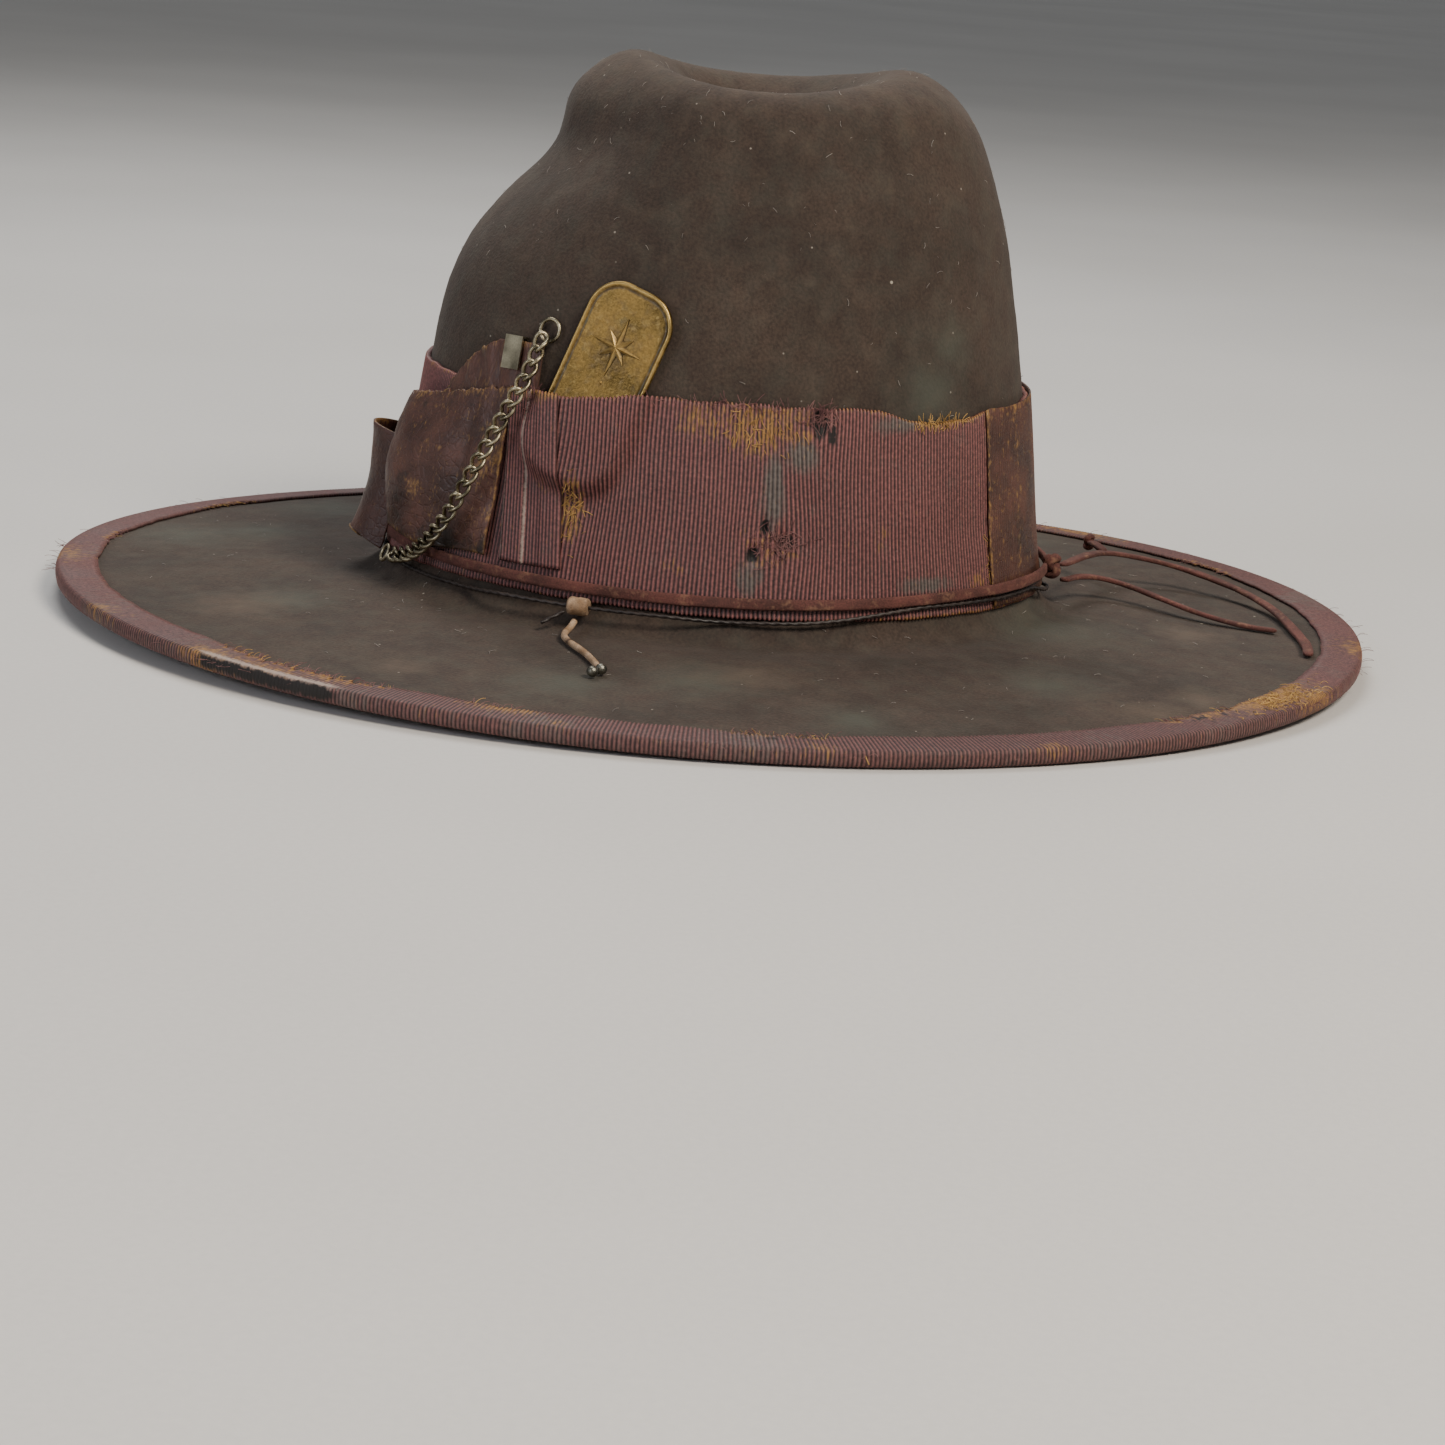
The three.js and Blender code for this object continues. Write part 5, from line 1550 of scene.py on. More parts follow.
@dataclass
class HatBand:
    """Deep grosgrain band with the pocket that holds the tag, and its end lapped at the back."""

    cloth: float = 1.2
    gap: float = 0.5
    pocket: float = 3.6
    rows: int = 30
    length: float = 553
    lap_from: float = 56
    lap_to: float = 104
    tops: tuple = (
        (-180, 66.5), (-60, 64.5), (-34, 63.4), (-12.5, 67.2), (3, 67.1), (29, 66.4), (36, 63.6),
        (41, 62.2), (50, 62.9), (57.6, 64.7), (62, 64.3), (104, 65.5), (180, 66.5),
    )
    bottoms: tuple = ((-180, 7.5), (-42, 8.4), (5, 6.7), (58, 6.9), (180, 7.5))
    ochre: tuple = (
        Spot(-4, 61, 9, 7, 0.6), Spot(5.8, 60, 10, 9, 0.75), Spot(13, 62, 8, 8, 0.6),
        Spot(9, 27, 9, 7, 0.45), Spot(-25.5, 34, 4.5, 12, 0.75), Spot(-7, 20, 4, 3, 0.4),
        Spot(30, 30, 3, 6, 0.4), Spot(52, 15, 5, 5, 0.5), Spot(57, 22, 3, 9, 0.5),
        Spot(150, 40, 12, 10, 0.5), Spot(-130, 30, 9, 12, 0.5), Spot(2, 65, 20, 2.2, 0.6),
    )
    burnt: tuple = (
        Spot(17.6, 62.5, 2.9, 5.2), Spot(20, 59, 1.6, 4, 0.8), Spot(12, 29, 3.4, 2.2),
        Spot(6.5, 25, 2.2, 2.8), Spot(8.5, 33, 1.6, 2.4, 0.9),
    )
    grey: tuple = (
        Spot(9.6, 43, 3.6, 12), Spot(14.5, 53, 5.5, 5.5), Spot(6, 19, 4, 6, 0.9),
        Spot(39, 16.5, 11, 2.6, 0.9), Spot(33, 62, 10, 2.6, 0.8), Spot(-50, 40, 6, 10, 0.6),
    )
    sunk: tuple = (
        Spot(17.6, 62.8, 1.9, 4.6), Spot(12, 29, 2.8, 1.7), Spot(6.5, 25, 1.8, 2.3), Spot(8.5, 33, 1.1, 2),
    )

    sways: tuple = (
        (Spot(10.2, 28.8, 9, 10), 1.5), (Spot(17.4, 64, 8, 8), 1.1), (Spot(-25.5, 34, 5, 12), 0.9),
        (Spot(-17, 52, 7, 9), -0.8), (Spot(-29, 55, 5, 7), 0.9), (Spot(52, 30, 8, 16), 0.6),
    )

    def top(self, angle: np.ndarray) -> np.ndarray:
        """Height of the band's upper edge."""
        at, z = np.array(self.tops, float).T
        return np.interp(turn_between(angle, 0), at, z)

    def bottom(self, angle: np.ndarray) -> np.ndarray:
        """Height of the band's lower edge."""
        at, z = np.array(self.bottoms, float).T
        return np.interp(turn_between(angle, 0), at, z)

    def stand(self, angle: np.ndarray, z: np.ndarray) -> np.ndarray:
        """How far the band's hidden face stands off the felt."""
        lift = TAG_PIECE.bulge(SKIN.wall(angle, z, TAG_PIECE.plate + 0.6))
        return self.gap + self.pocket * lift

    def swayed(self, angle: np.ndarray, z: np.ndarray) -> np.ndarray:
        """The ribs' angle, pushed aside by the tears and slack in the cloth."""
        for spot, push in self.sways:
            side = turn_between(angle, spot.angle) * MM_A_DEGREE / spot.wide
            angle = angle + push * side * np.exp(-side * side) * bump((z - spot.z) / spot.tall)
        return angle + 0.35 * np.sin(z / 19 + angle / 23) * bump((z - 36) / 20)

    def build(self) -> None:
        """The band, its lap and its frayed places."""
        columns = RIBS.count(self.length)
        base = np.linspace(-180, 180, columns, endpoint=False)[:, None]
        rib = RIBS.profile(columns)[:, None]
        share = np.concatenate([[0, 0.008], np.linspace(0.022, 0.978, self.rows), [0.992, 1]])[None]
        low, high = self.bottom(base), self.top(base)
        wobble = 0.35 * np.sin(base / 3.1) + 0.25 * np.sin(base / 1.27 + 2)
        z = low + 0.3 * wobble + (1 - rib) * 0.7 + share * (high - low + 0.3 * wobble - (1 - rib) * 1.6)
        angle = self.swayed(base, z)
        sunk = spotted(self.sunk, angle, z)
        plain = SKIN.wall(angle, z, 0.0)
        ragged = roughness_of(plain, 3.0)
        worn = np.clip(spotted(self.ochre, angle, z) * (0.75 + 0.5 * ragged), 0, 1)
        edge = np.minimum(share, 1 - share) * 60
        height = (rib * RIBS.height * (1 - 0.65 * worn) + 0.1 * worn * ragged) * smoothstep(edge, -0.4, 0.8)
        stand = self.stand(angle, z)
        slack = 0.35 * roughness_of(plain, 17, 2) * bump((share - 0.5) / 0.28)
        outside = stand + 0.75 + height + slack - 1.15 * smoothstep(sunk, 0.35, 0.75)
        outer = SKIN.wall(angle, z, outside)
        inner_z = np.concatenate([z[:, :1], z[:, 8:25:8], z[:, -1:]], 1)
        inner_angle = np.concatenate([angle[:, :1], angle[:, 8:25:8], angle[:, -1:]], 1)
        inner = SKIN.wall(inner_angle, inner_z, self.stand(inner_angle, inner_z) - 0.42)
        top_gold = bump((z - high) / 0.8) * (0.3 + 0.7 * bump(turn_between(base, 44) / 10))
        top_gold = top_gold + bump((z - low) / 0.7) * (0.2 + 0.5 * bump(turn_between(base, 46) / 14))
        crest = rib * np.ones_like(z)
        values = {
            "cloth": np.stack([base * self.length / 360 + 0 * z, z, 0 * z], -1) * MM,
            # Painted highlight on the rib crests and painted shade between the ribs.
            "crest": np.clip(0.9 * crest - 0.2, 0, 1),
            "gap": np.clip(1.15 - 1.3 * crest, 0, 1),
            "worn": np.clip(np.maximum(worn, top_gold), 0, 1),
            "greyed": np.clip(spotted(self.grey, angle, z), 0, 1),
            "scorched": np.clip(np.maximum(spotted(self.burnt, angle, z), 1.2 * sunk), 0, 1.1),
        }
        piece = shell("hatband_ribbed", Sheet(outer, values), inner, ring=True)
        settle(piece, GROSGRAIN, HAT, ("hatband",))
        self._lap()
        self._frays()

    def _lap(self) -> None:
        """The band's worn end, with rubbed golden edges."""
        columns = RIBS.count((self.lap_to - self.lap_from) * MM_A_DEGREE)
        base = np.linspace(self.lap_from, self.lap_to, columns + 1)[:, None]
        rib = RIBS.profile(columns + 1)[:, None]
        share = np.linspace(0, 1, 28)[None]
        z = self.bottom(base) + 0.8 + share * (self.top(base) - self.bottom(base) - 0.4)
        place = np.stack([base * 1.5 + 0 * z, z, 0 * z], -1)
        ragged = roughness_of(place, 2.4)
        angle = base + 0.25 * ragged * bump((base - self.lap_from) / 1.2)
        outside = 2.45 + 0.16 * rib + 0.3 * roughness_of(place, 14, 2) * bump((share - 0.5) / 0.3)
        outer = SKIN.wall(angle, z, outside)
        inner = SKIN.wall(angle, z, 1.95)
        edge = bump((base - self.lap_from) / 0.5) + bump((base - self.lap_to) / 0.5)
        seam = bump((base - 68) / 0.7) * 0.8
        values = {
            "cloth": place * MM,
            # Painted shade between the ribs.
            "gap": np.clip(0.8 - 1.5 * rib + 0 * z, 0, 1),
            "worn": np.clip(0.5 * edge + 0.4 * seam + 0.4 * bump((share - 1) / 0.03) + 0.5 * ragged, 0, 1),
            "scorched": np.clip(0.5 * roughness_of(place + 30, 9), 0, 0.8),
        }
        piece = shell("band_lap_worn", Sheet(outer, values), inner)
        settle(piece, WORN_RIBBON, HAT, ("band_rear_lap",))

    def _frays(self) -> None:
        """Ochre cords and mauve threads pulled out of the worn places."""
        random = np.random.default_rng(7)
        for name, spots, count, length, finish, seed in (
            (
                "band_frays_ochre",
                (Spot(5.8, 60, 12, 6), Spot(-25.5, 34, 3.5, 10), Spot(44, 62.4, 9, 0.6), Spot(57, 20, 2, 8)),
                330, 2.2, OCHRE_THREAD, 3,
            ),
            (
                "band_frays_mauve",
                (
                    Spot(11, 29, 7, 5), Spot(10, 28, 4, 3), Spot(17.4, 64, 5, 3),
                    Spot(-35, 62, 1, 5), Spot(3, 66, 20, 1),
                ),
                460, 2.8, MAUVE_THREAD, 17,
            ),
        ):
            which = random.integers(0, len(spots), count)
            spread = random.normal(size=(2, count)) * 0.55
            centres = np.array([spots[i].angle for i in which])
            angle = centres + spread[0] * [spots[i].wide / MM_A_DEGREE for i in which]
            z = np.array([spots[i].z for i in which]) + spread[1] * [spots[i].tall for i in which]
            z = np.minimum(z, self.top(angle) - 0.2)
            start = SKIN.wall(angle, z, self.stand(angle, z) + 0.95)
            out = SKIN.normal(angle, SKIN.along_wall(z))
            side = unit(np.cross([0, 0, 1.0], out))
            mixed = random.normal(size=(count, 2)) * [0.5, 1.0]
            lie = unit(side * mixed[:, :1] + np.cross(out, side) * mixed[:, 1:])
            threads = Threads(name, length, 0.08, 0.35, seed, finish)
            settle(threads.make(start, out, lie), finish, HAT, ())


BAND = HatBand()


@dataclass
class Bow:
    """The flattened bow at the front: puffed loop, pleated tail, end loop, tab and clip."""

    over_band: float = 2.1
    puff_from: float = -76
    puff_to: float = -41.2
    swell: float = 8

    def build(self) -> None:
        """All of the bow."""
        self._puff()
        self._tail()
        self._loop()
        self._tab()
        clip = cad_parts["ribbon_clip"]
        clip.data.materials.clear()
        clip.data.materials.append(CLIP_STEEL.material())

    def _puff(self) -> None:
        """Rubbed, puffed loop with soft folds and a torn upper edge; painted shade darkens its fold hollows
        and its foot.
        """
        angle = np.linspace(self.puff_from, self.puff_to, 120)[:, None]
        share = np.linspace(0, 1, 90)[None]
        place = np.stack([angle * 1.6 + 0 * share, share * 45 + 0 * angle, 0 * angle * share], -1)
        torn = roughness_of(np.stack([angle[:, 0] * 1.6, 0 * angle[:, 0], 0 * angle[:, 0]], -1), 2.5)[:, None]
        top = 57 + (angle + 66) * 0.3 + 1.3 * torn
        low = 15.4 + 0.8 * np.sin(angle / 4)
        z = low + share * (top - low)
        folds = 0.85 * np.sin((angle * 1.6 + 0.55 * z) / 5.2) * bump((share - 0.15) / 0.22)
        folds = folds + 0.9 * np.sin((angle * 1.6 - 0.35 * z) / 4.1 + 1) * bump((share - 1) / 0.2)
        crease = 1.2 * bump((angle + 50.5 - (z - 30) * 0.05) / 1.1) * bump((z - 34) / 18)
        folds = folds + 0.6 * roughness_of(place, 11) - crease
        swell = self.swell * bump((angle + 67) / 11) * bump((z - 36) / 17)
        pull = smoothstep(angle, self.puff_from, self.puff_from + 5)
        outside = self.over_band + 1.2 + swell * pull + folds * 0.8
        outside = np.maximum(outside, 3.2 + 0.4 * smoothstep(z, 50, 56))
        outer = SKIN.wall(angle, z, outside)
        inner = SKIN.wall(angle, z, outside - 0.7)
        edge = bump((share - 1) / 0.03) + bump(share / 0.02) + bump((angle - self.puff_to) / 0.5)
        patch = bump((angle + 44.5) / 2.2) * bump((z - 42) / 6)
        patch = patch + 0.8 * bump((angle + 60) / 1.6) * bump((z - 30) / 3)
        values = {
            "cloth": place * MM,
            # Painted shade in the hollows of the folds and along the crease.
            "gap": np.clip(-0.9 * folds * 0.6, 0, 0.9),
            "worn": np.clip(0.4 * edge + 0.5 * patch + 0.4 * roughness_of(place, 6), 0, 1),
            # Dark blotches, and a painted shadow along the foot of the puff.
            "scorched": np.clip(0.6 * roughness_of(place + 17, 8) + 0.5 * bump((z - 16) / 4), 0, 0.9),
        }
        piece = shell("bow_puff_rubbed", Sheet(outer, values), inner)
        settle(piece, WORN_RIBBON, HAT, ("bow_puff",))

    def _tail(self) -> None:
        """Pleated tail with a pale selvedge, ribs running down it."""
        columns = 4 * 18
        base = np.linspace(-40.8, -28.6, columns + 1)[:, None]
        rib = RIBS.profile(columns + 1)[:, None]
        share = np.linspace(0, 1, 44)[None]
        lean = 4.6 * (1 - share)
        z = 15.5 + 0.5 * rib + share * (48.8 - 0.6 * (1 - rib))
        angle = base + lean * 0.55 - 1.2 * share
        pleat = 0.8 * smoothstep(base, -40.8, -40.2) * (1 - smoothstep(base, -36.4, -35.6))
        pleat = pleat + 0.45 * smoothstep(base, -33.2, -32.2) * (1 - smoothstep(base, -29.6, -28.6))
        outside = BAND.stand(angle, z) + BAND.cloth + 0.75 + pleat + 0.22 * rib
        outer = SKIN.wall(angle, z, outside)
        inner = SKIN.wall(angle, z, outside - 0.22 * rib - 0.55)
        selvedge = 0.9 * bump((base + 40.55) / 0.2) + 0.8 * bump((base + 35.9) / 0.17)
        place = np.stack([base * 1.6 + 0 * z, z, 0 * z], -1)
        values = {
            "cloth": place * MM,
            # Painted highlight on the rib crests and painted shade between the ribs.
            "crest": np.clip(0.9 * rib - 0.25 + 0 * z, 0, 1),
            "gap": np.clip(1.15 - 1.3 * rib + 0 * z, 0, 1),
            "selvedge": np.clip(selvedge + 0 * z, 0, 1),
            "worn": np.clip(0.6 * bump((share - 1) / 0.04) + 0.3 * roughness_of(place, 7), 0, 0.9),
        }
        piece = shell("bow_tail_pleated", Sheet(outer, values), inner)
        settle(piece, GROSGRAIN, HAT, ("bow_tail",))

    def _loop(self) -> None:
        """Loop of ribbon standing on edge at the very front."""
        plan = np.array([
            [-77.2, 3.9], [-79.3, 9], [-82, 12.6], [-86, 13.8], [-90, 11.7], [-93, 7.6], [-95, 4.2],
        ])
        route = natural_spline(np.arange(7.0), plan)(np.linspace(0, 6, 84))
        share = np.linspace(0, 1, 40)[None]
        angle, stand = route[:, :1], route[:, 1:]
        high = 40.5 + 1.6 * np.sin(np.linspace(0, 3.1, 84))[:, None]
        z = 5.4 + share * (high - 5.4)
        pinch = 1 - 0.22 * bump((share - 0.52) / 0.3)
        place = np.stack([np.linspace(0, 40, 84)[:, None] + 0 * z, z, 0 * z], -1)
        rib = RIBS.profile(84)[:, None]
        middle = SKIN.wall(angle + 0 * z, z, stand * pinch + 0.25 * roughness_of(place, 8))
        ahead = np.gradient(middle, axis=0)
        out = unit(np.cross(ahead, np.gradient(middle, axis=1)))
        outer, inner = middle + out * (0.35 + 0.12 * rib[..., None]), middle - out * 0.35
        edge = bump((share - 1) / 0.03) + bump(share / 0.03)
        values = {
            "cloth": place * MM,
            # Painted shade between the ribs.
            "gap": np.clip(0.7 - 1.3 * rib + 0 * z, 0, 1),
            "worn": np.clip(0.8 * edge + 0.4 * roughness_of(place, 7) + 0 * angle, 0, 1),
            "scorched": np.clip(0.5 * roughness_of(place + 8, 9), 0, 0.8),
        }
        piece = shell("bow_loop_curled", Sheet(outer, values), inner)
        settle(piece, WORN_RIBBON, HAT, ("bow_loop",))

    def _tab(self) -> None:
        """Crumpled end of ribbon above the band, which carries the clip."""
        angle = np.linspace(-62.5, -35.8, 110)[:, None]
        share = np.linspace(0, 1, 40)[None]
        place = np.stack([angle * 1.6 + 0 * share, share * 10 + 0 * angle, 0 * angle * share], -1)
        top = np.interp(angle, [-62.5, -58, -54, -47, -36], [58.6, 66, 71.5, 77, 77.6])
        top = top + 0.9 * roughness_of(place[:, :1], 2.2) * (1 - 0.8 * smoothstep(angle, -48, -46))
        z = 55 + share * (top - 55)
        crumple = 0.5 * roughness_of(place, 4) + 0.22 * np.sin(angle * 1.2 + 5 * share)
        outside = 2.25 + crumple * smoothstep(z, 60, 66)
        outer = SKIN.wall(angle, z, np.clip(outside, 1.7, 2.7))
        inner = SKIN.wall(angle, z, np.clip(outside, 1.7, 2.7) - 0.6)
        edge = bump((share - 1) / 0.06) + bump(share / 0.06)
        values = {
            "cloth": place * MM,
            "worn": np.clip(0.35 * edge + 0.45 * roughness_of(place, 3), 0, 1),
            "scorched": np.clip(0.6 * roughness_of(place + 5, 5), 0, 0.8),
        }
        piece = shell("bow_tab_crumpled", Sheet(outer, values), inner)
        settle(piece, WORN_RIBBON, HAT, ("bow_tab",))


# ------------------------------------------------------------------ chain and rings


@dataclass
class CurbChain:
    """Twisted steel links from the ring beside the tag to the ring at the bow's foot."""

    pitch: float = 4.4
    half_length: float = 2.95
    half_width: float = 1.95
    wire: float = 0.62
    twist: float = 0.85
    # angle, height and distance off the felt
    route: tuple = (
        (-35.4, 77.9, 5), (-35.4, 72, 7.4), (-36.6, 65, 8.8), (-39, 57.5, 8.8), (-41, 50, 9.2),
        (-42.6, 43, 10.2), (-44.2, 35.5, 11.2), (-46, 28.5, 11.4), (-48.8, 22, 10.6),
        (-52.4, 16.6, 9), (-56.2, 12.8, 7.4), (-60, 10.2, 6.6), (-64.5, 8, 6.2),
    )

    def build(self) -> None:
        """The chain and both rings."""
        angle, z, stand = np.array(self.route, float).T
        line = smooth_path(SKIN.wall(angle, z, stand), 160)
        out = np.array([self._outward(p) for p in line])
        shape = NodeShape("curb_links", {
            "Pitch": self.pitch * MM, "Half length": self.half_length * MM,
            "Half width": self.half_width * MM, "Wire": self.wire * MM, "Twist": self.twist,
        })
        link = self._link(shape)
        rail = shape.add("GeometryNodeMeshToCurve", {0: shape.inputs["Guide"]})[0]
        spaced = shape.add(
            "GeometryNodeResampleCurve", {"Curve": rail, "Length": shape.inputs["Pitch"]}, mode="LENGTH"
        )[0]
        ahead = shape.add("GeometryNodeInputTangent")[0]
        up = shape.add("GeometryNodeInputNamedAttribute", {0: "out"}, data_type="FLOAT_VECTOR")[0]
        turned = shape.add(
            "FunctionNodeAxesToRotation", {0: ahead, 1: up}, primary_axis="X", secondary_axis="Z"
        )[0]
        shape.finish(shape.add("GeometryNodeInstanceOnPoints", {
            "Points": spaced, "Instance": link, "Rotation": turned,
        })[0], CHAIN_STEEL.material())
        edges = [(i, i + 1) for i in range(len(line) - 1)]
        chain = shape.bake(guide_mesh(line, edges, {"out": out}), "curb_chain_links")
        settle(chain, CHAIN_STEEL, CHAIN, ("curb_chain",))
        for name, seat, radius, node in (
            ("ring_upper", WallFrame(-35.3, 81.6, 1.5), 3.2, "chain_top_ring"),
            ("ring_foot", WallFrame(-70.6, 6.2, 5), 2.4, "chain_foot_ring"),
        ):
            settle(self._ring(name, seat, radius), CHAIN_STEEL, HAT, (node,))

    def _outward(self, point: np.ndarray) -> np.ndarray:
        """The crown's outward direction near a point."""
        angle = math.degrees(math.atan2(point[1] / 94, point[0] / 80))
        return SKIN.normal(np.array(angle), SKIN.along_wall(np.array(point[2])))

    def _link(self, shape: NodeShape) -> Any:
        """One link: a round wire bent to an oval, its two ends turned opposite ways."""
        circle = shape.add("GeometryNodeCurvePrimitiveCircle", {"Resolution": 22, "Radius": 1.0})[0]
        here = shape.add("GeometryNodeInputPosition")[0]
        x, y, _ = shape.add("ShaderNodeSeparateXYZ", {0: here})
        turn = shape.add("ShaderNodeMath", {0: x, 1: shape.inputs["Twist"]}, operation="MULTIPLY")[0]
        wide = shape.add("ShaderNodeMath", {0: y, 1: shape.inputs["Half width"]}, operation="MULTIPLY")[0]
        flat = shape.add("ShaderNodeMath", {0: turn}, operation="COSINE")[0]
        lift = shape.add("ShaderNodeMath", {0: turn}, operation="SINE")[0]
        bent = shape.add("ShaderNodeCombineXYZ", {
            0: shape.add("ShaderNodeMath", {0: x, 1: shape.inputs["Half length"]}, operation="MULTIPLY")[0],
            1: shape.add("ShaderNodeMath", {0: wide, 1: flat}, operation="MULTIPLY")[0],
            2: shape.add("ShaderNodeMath", {0: wide, 1: lift}, operation="MULTIPLY")[0],
        })[0]
        loop = shape.add("GeometryNodeSetPosition", {"Geometry": circle, "Position": bent})[0]
        wire = {"Resolution": 7, "Radius": shape.inputs["Wire"]}
        profile = shape.add("GeometryNodeCurvePrimitiveCircle", wire)[0]
        return shape.add("GeometryNodeCurveToMesh", {"Curve": loop, "Profile Curve": profile})[0]

    def _ring(self, name: str, seat: WallFrame, radius: float) -> bpy.types.Object:
        """A jump ring, with the cut where it was closed."""
        turn = np.linspace(0, 2 * math.pi, 64, endpoint=False)
        local = np.stack([radius * np.cos(turn), radius * np.sin(turn), 0 * turn], -1)
        line = seat.place(local)
        size = 1 - 0.35 * bump((turn - 4.2) / 0.05)
        section = oval(1.1, 1.1, 10)[None] * size[:, None, None]
        return loft(name, sweep(line, np.tile(seat.axes()[2], (64, 1)), section, closed=True), closed=True)


# ------------------------------------------------------------------ inside


@dataclass
class Inside:
    """Sweatband with its reed, bow and stitches, and the satin lining."""

    leather: float = 1.4
    gap: float = 0.5
    low: float = -1
    high: float = 48
    straight: float = 12
    reed_radius: float = 1.2

    def _at(self, angle: np.ndarray, z: np.ndarray, depth: np.ndarray) -> np.ndarray:
        """Points inside the head opening, straight down below the wall's first rings."""
        points = SKIN.wall(angle, np.maximum(z, self.straight), -SKIN.thickness - depth)
        points[..., 2] = np.where(z < self.straight, z, points[..., 2])
        return points

    def build(self) -> None:
        """Everything inside the hat."""
        self._sweatband()
        self._bow()
        self._lining()

    def _sweatband(self) -> None:
        """Leather band, the reed sewn into its edge, and the stitches."""
        angle = np.linspace(0, 360, 300, endpoint=False)[:, None]
        z = np.linspace(self.low, self.high, 22)[None]
        ripple = 0.12 * np.sin(np.radians(angle) * 37) * bump((z - self.high) / 14)
        inner = self._at(angle, z, self.gap + self.leather + ripple + 0 * z)
        outer = self._at(angle, z, self.gap + 0 * (angle + z))
        band = shell("sweatband_leather", Sheet(inner), outer, ring=True)
        settle(band, SWEATBAND_LEATHER, HAT, ("sweatband",))
        middle = self.low - 0.3 - self.reed_radius
        core = self._at(angle[:, 0], np.full(300, middle), np.full(300, self.gap + self.leather / 2))
        up = np.tile([0.0, 0.0, 1.0], (300, 1))
        reed = loft("sweatband_reed_piping", sweep(core, up, oval(2.4, 2.4, 12), closed=True), closed=True)
        settle(reed, REED, HAT, ("sweatband_reed",))
        self._stitches()

    def _stitches(self) -> None:
        """Two rows of stitches along the sweatband's sewn edge."""
        turn = np.arange(0, 360, 1.6)
        rows = [(turn, np.full(len(turn), 2.0)), (turn, np.full(len(turn), 3.6))]
        angle, z = (np.concatenate(x) for x in zip(*rows))
        start = self._at(angle, z, np.full(len(z), self.gap + self.leather + 0.08))
        ahead = unit(self._at(angle + 0.5, z, np.full(len(z), self.gap + self.leather + 0.08)) - start)
        inward = -unit(start * [1, 1, 0])
        shape = NodeShape("sweatband_stitches", {"Length": 1.7 * MM, "Width": 0.18 * MM})
        far = shape.add("ShaderNodeCombineXYZ", {0: shape.inputs["Length"]})[0]
        line = shape.add("GeometryNodeCurvePrimitiveLine", {0: (0, 0, 0), 1: far})[0]
        dense = shape.add("GeometryNodeResampleCurve", {"Curve": line, "Count": 4}, mode="COUNT")[0]
        round_it = {"Resolution": 6, "Radius": shape.inputs["Width"]}
        profile = shape.add("GeometryNodeCurvePrimitiveCircle", round_it)[0]
        caps = {"Curve": dense, "Profile Curve": profile, "Fill Caps": True}
        stitch = shape.add("GeometryNodeCurveToMesh", caps)[0]
        axes = [
            shape.add("GeometryNodeInputNamedAttribute", {0: key}, data_type="FLOAT_VECTOR")[0]
            for key in ("lie", "out")
        ]
        turned = shape.add(
            "FunctionNodeAxesToRotation", {0: axes[0], 1: axes[1]}, primary_axis="X", secondary_axis="Z"
        )[0]
        dots = shape.add("GeometryNodeMeshToPoints", {0: shape.inputs["Guide"]})[0]
        shape.finish(shape.add("GeometryNodeInstanceOnPoints", {
            "Points": dots, "Instance": stitch, "Rotation": turned,
        })[0], OCHRE_THREAD.material())
        made = shape.bake(guide_mesh(start, [], {"lie": ahead, "out": inward}), "sweatband_stitches")
        settle(made, OCHRE_THREAD, HAT, ())

    def _bow(self) -> None:
        """Small satin bow over the sweatband's joint at the back."""
        along = np.linspace(-11, 11, 60)
        share = np.abs(along) / 11
        height = 1.6 + 4.4 * np.sin(math.pi * np.minimum(1, share * 0.85))
        thick = 0.8 + 1.2 * np.sin(math.pi * np.minimum(1, share * 0.9))
        depth = self.gap + self.leather + 2.9
        core = self._at(90 - np.degrees(along / 92), np.full(60, 12.0), np.full(60, depth))
        turn = np.linspace(0, 2 * math.pi, 24, endpoint=False)
        crease = 1 + 0.14 * np.sin(5 * turn[None] + 2 * share[:, None]) * share[:, None]
        rings = np.stack([
            core[:, :1] + 0 * turn, core[:, 1:2] + thick[:, None] * np.cos(turn) * crease,
            core[:, 2:] + height[:, None] * np.sin(turn) * crease,
        ], -1)
        settle(loft("sweatband_ribbon_bow", rings), SATIN, HAT, ("sweatband_bow",))

    def _lining(self) -> None:
        """Satin lining, gathered up the wall and smooth in the tip."""
        row = SKIN.station
        split = (row[12] + row[13]) / 2
        low = float(SKIN.along_wall(np.array(51.0)))
        angle = np.linspace(0, 360, 360, endpoint=False)[:, None]
        along = np.linspace(low, split, 44)[None]
        gather = 0.35 * (1 + np.sin(np.radians(angle) * 60)) * bump((along - split) / 25)
        depth = -(SKIN.thickness + 1.2)
        inner = SKIN.offset(angle, along, depth - 0.6 - gather + 0 * along)
        outer = SKIN.offset(angle, along, depth + 0 * (angle + along))
        side = shell("lining_gathered_side", Sheet(inner), outer, ring=True)
        settle(side, SATIN, HAT, ("lining_side",))
        along = np.linspace(split + 0.8, SKIN.pole - 1.5, 40)[None]
        outer = SKIN.offset(angle, along, depth + 0 * (angle + along))
        inner = SKIN.offset(angle, along, depth - 0.6 + 0 * (angle + along))
        n, m = inner.shape[:2]
        front = np.arange(n * m).reshape(n, m)
        back = n * m + front
        faces = np.concatenate([
            cells(np.vstack([front, front[:1]])), cells(np.vstack([back, back[:1]])[:, ::-1]),
            cells(np.stack([np.append(back[:, 0], back[0, 0]), np.append(front[:, 0], front[0, 0])], -1)),
        ]).tolist()
        faces += [front[::-1, -1].tolist(), back[:, -1].tolist()]
        points = np.concatenate([inner.reshape(-1, 3), outer.reshape(-1, 3)])
        tip = make_object("lining_tip_satin", points, faces, {})
        settle(tip, SATIN, HAT, ("lining_tip",))


# ------------------------------------------------------------------ main


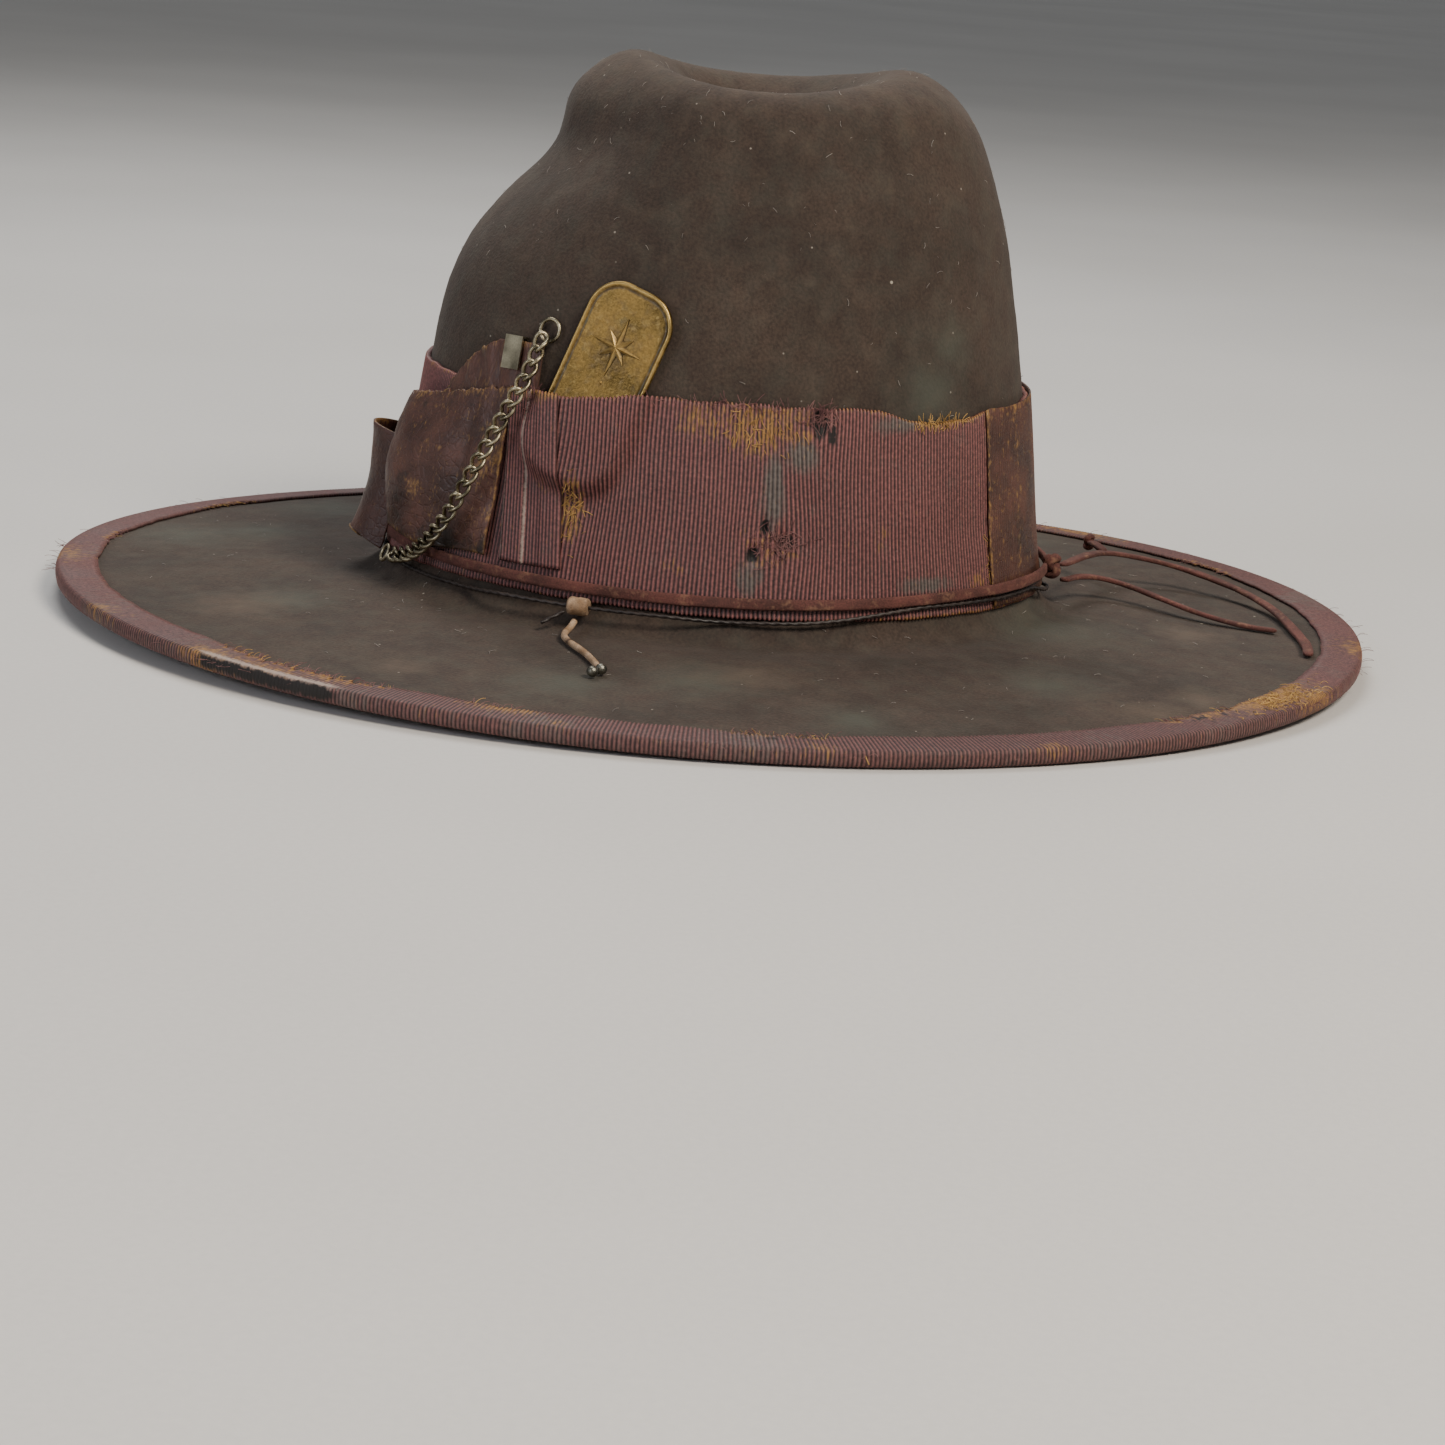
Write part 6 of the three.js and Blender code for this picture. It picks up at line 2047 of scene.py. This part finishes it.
def main() -> None:
    """Builds the hat's pieces in order, round the frame."""
    logging.basicConfig(level=logging.INFO, format="%(name)s: %(message)s")
    studio = Studio()
    studio.camera()
    lace, cord = Lace(), CordAndBarrel()
    lace.build_tails()
    cord.build_tail()
    lace.build()
    cord.build()
    FeltBody().build()
    BrimBinding().build()
    TAG_PIECE.build()
    BAND.build()
    Bow().build()
    CurbChain().build()
    Inside().build()
    studio.build()


if __name__ == "__main__":
    main()
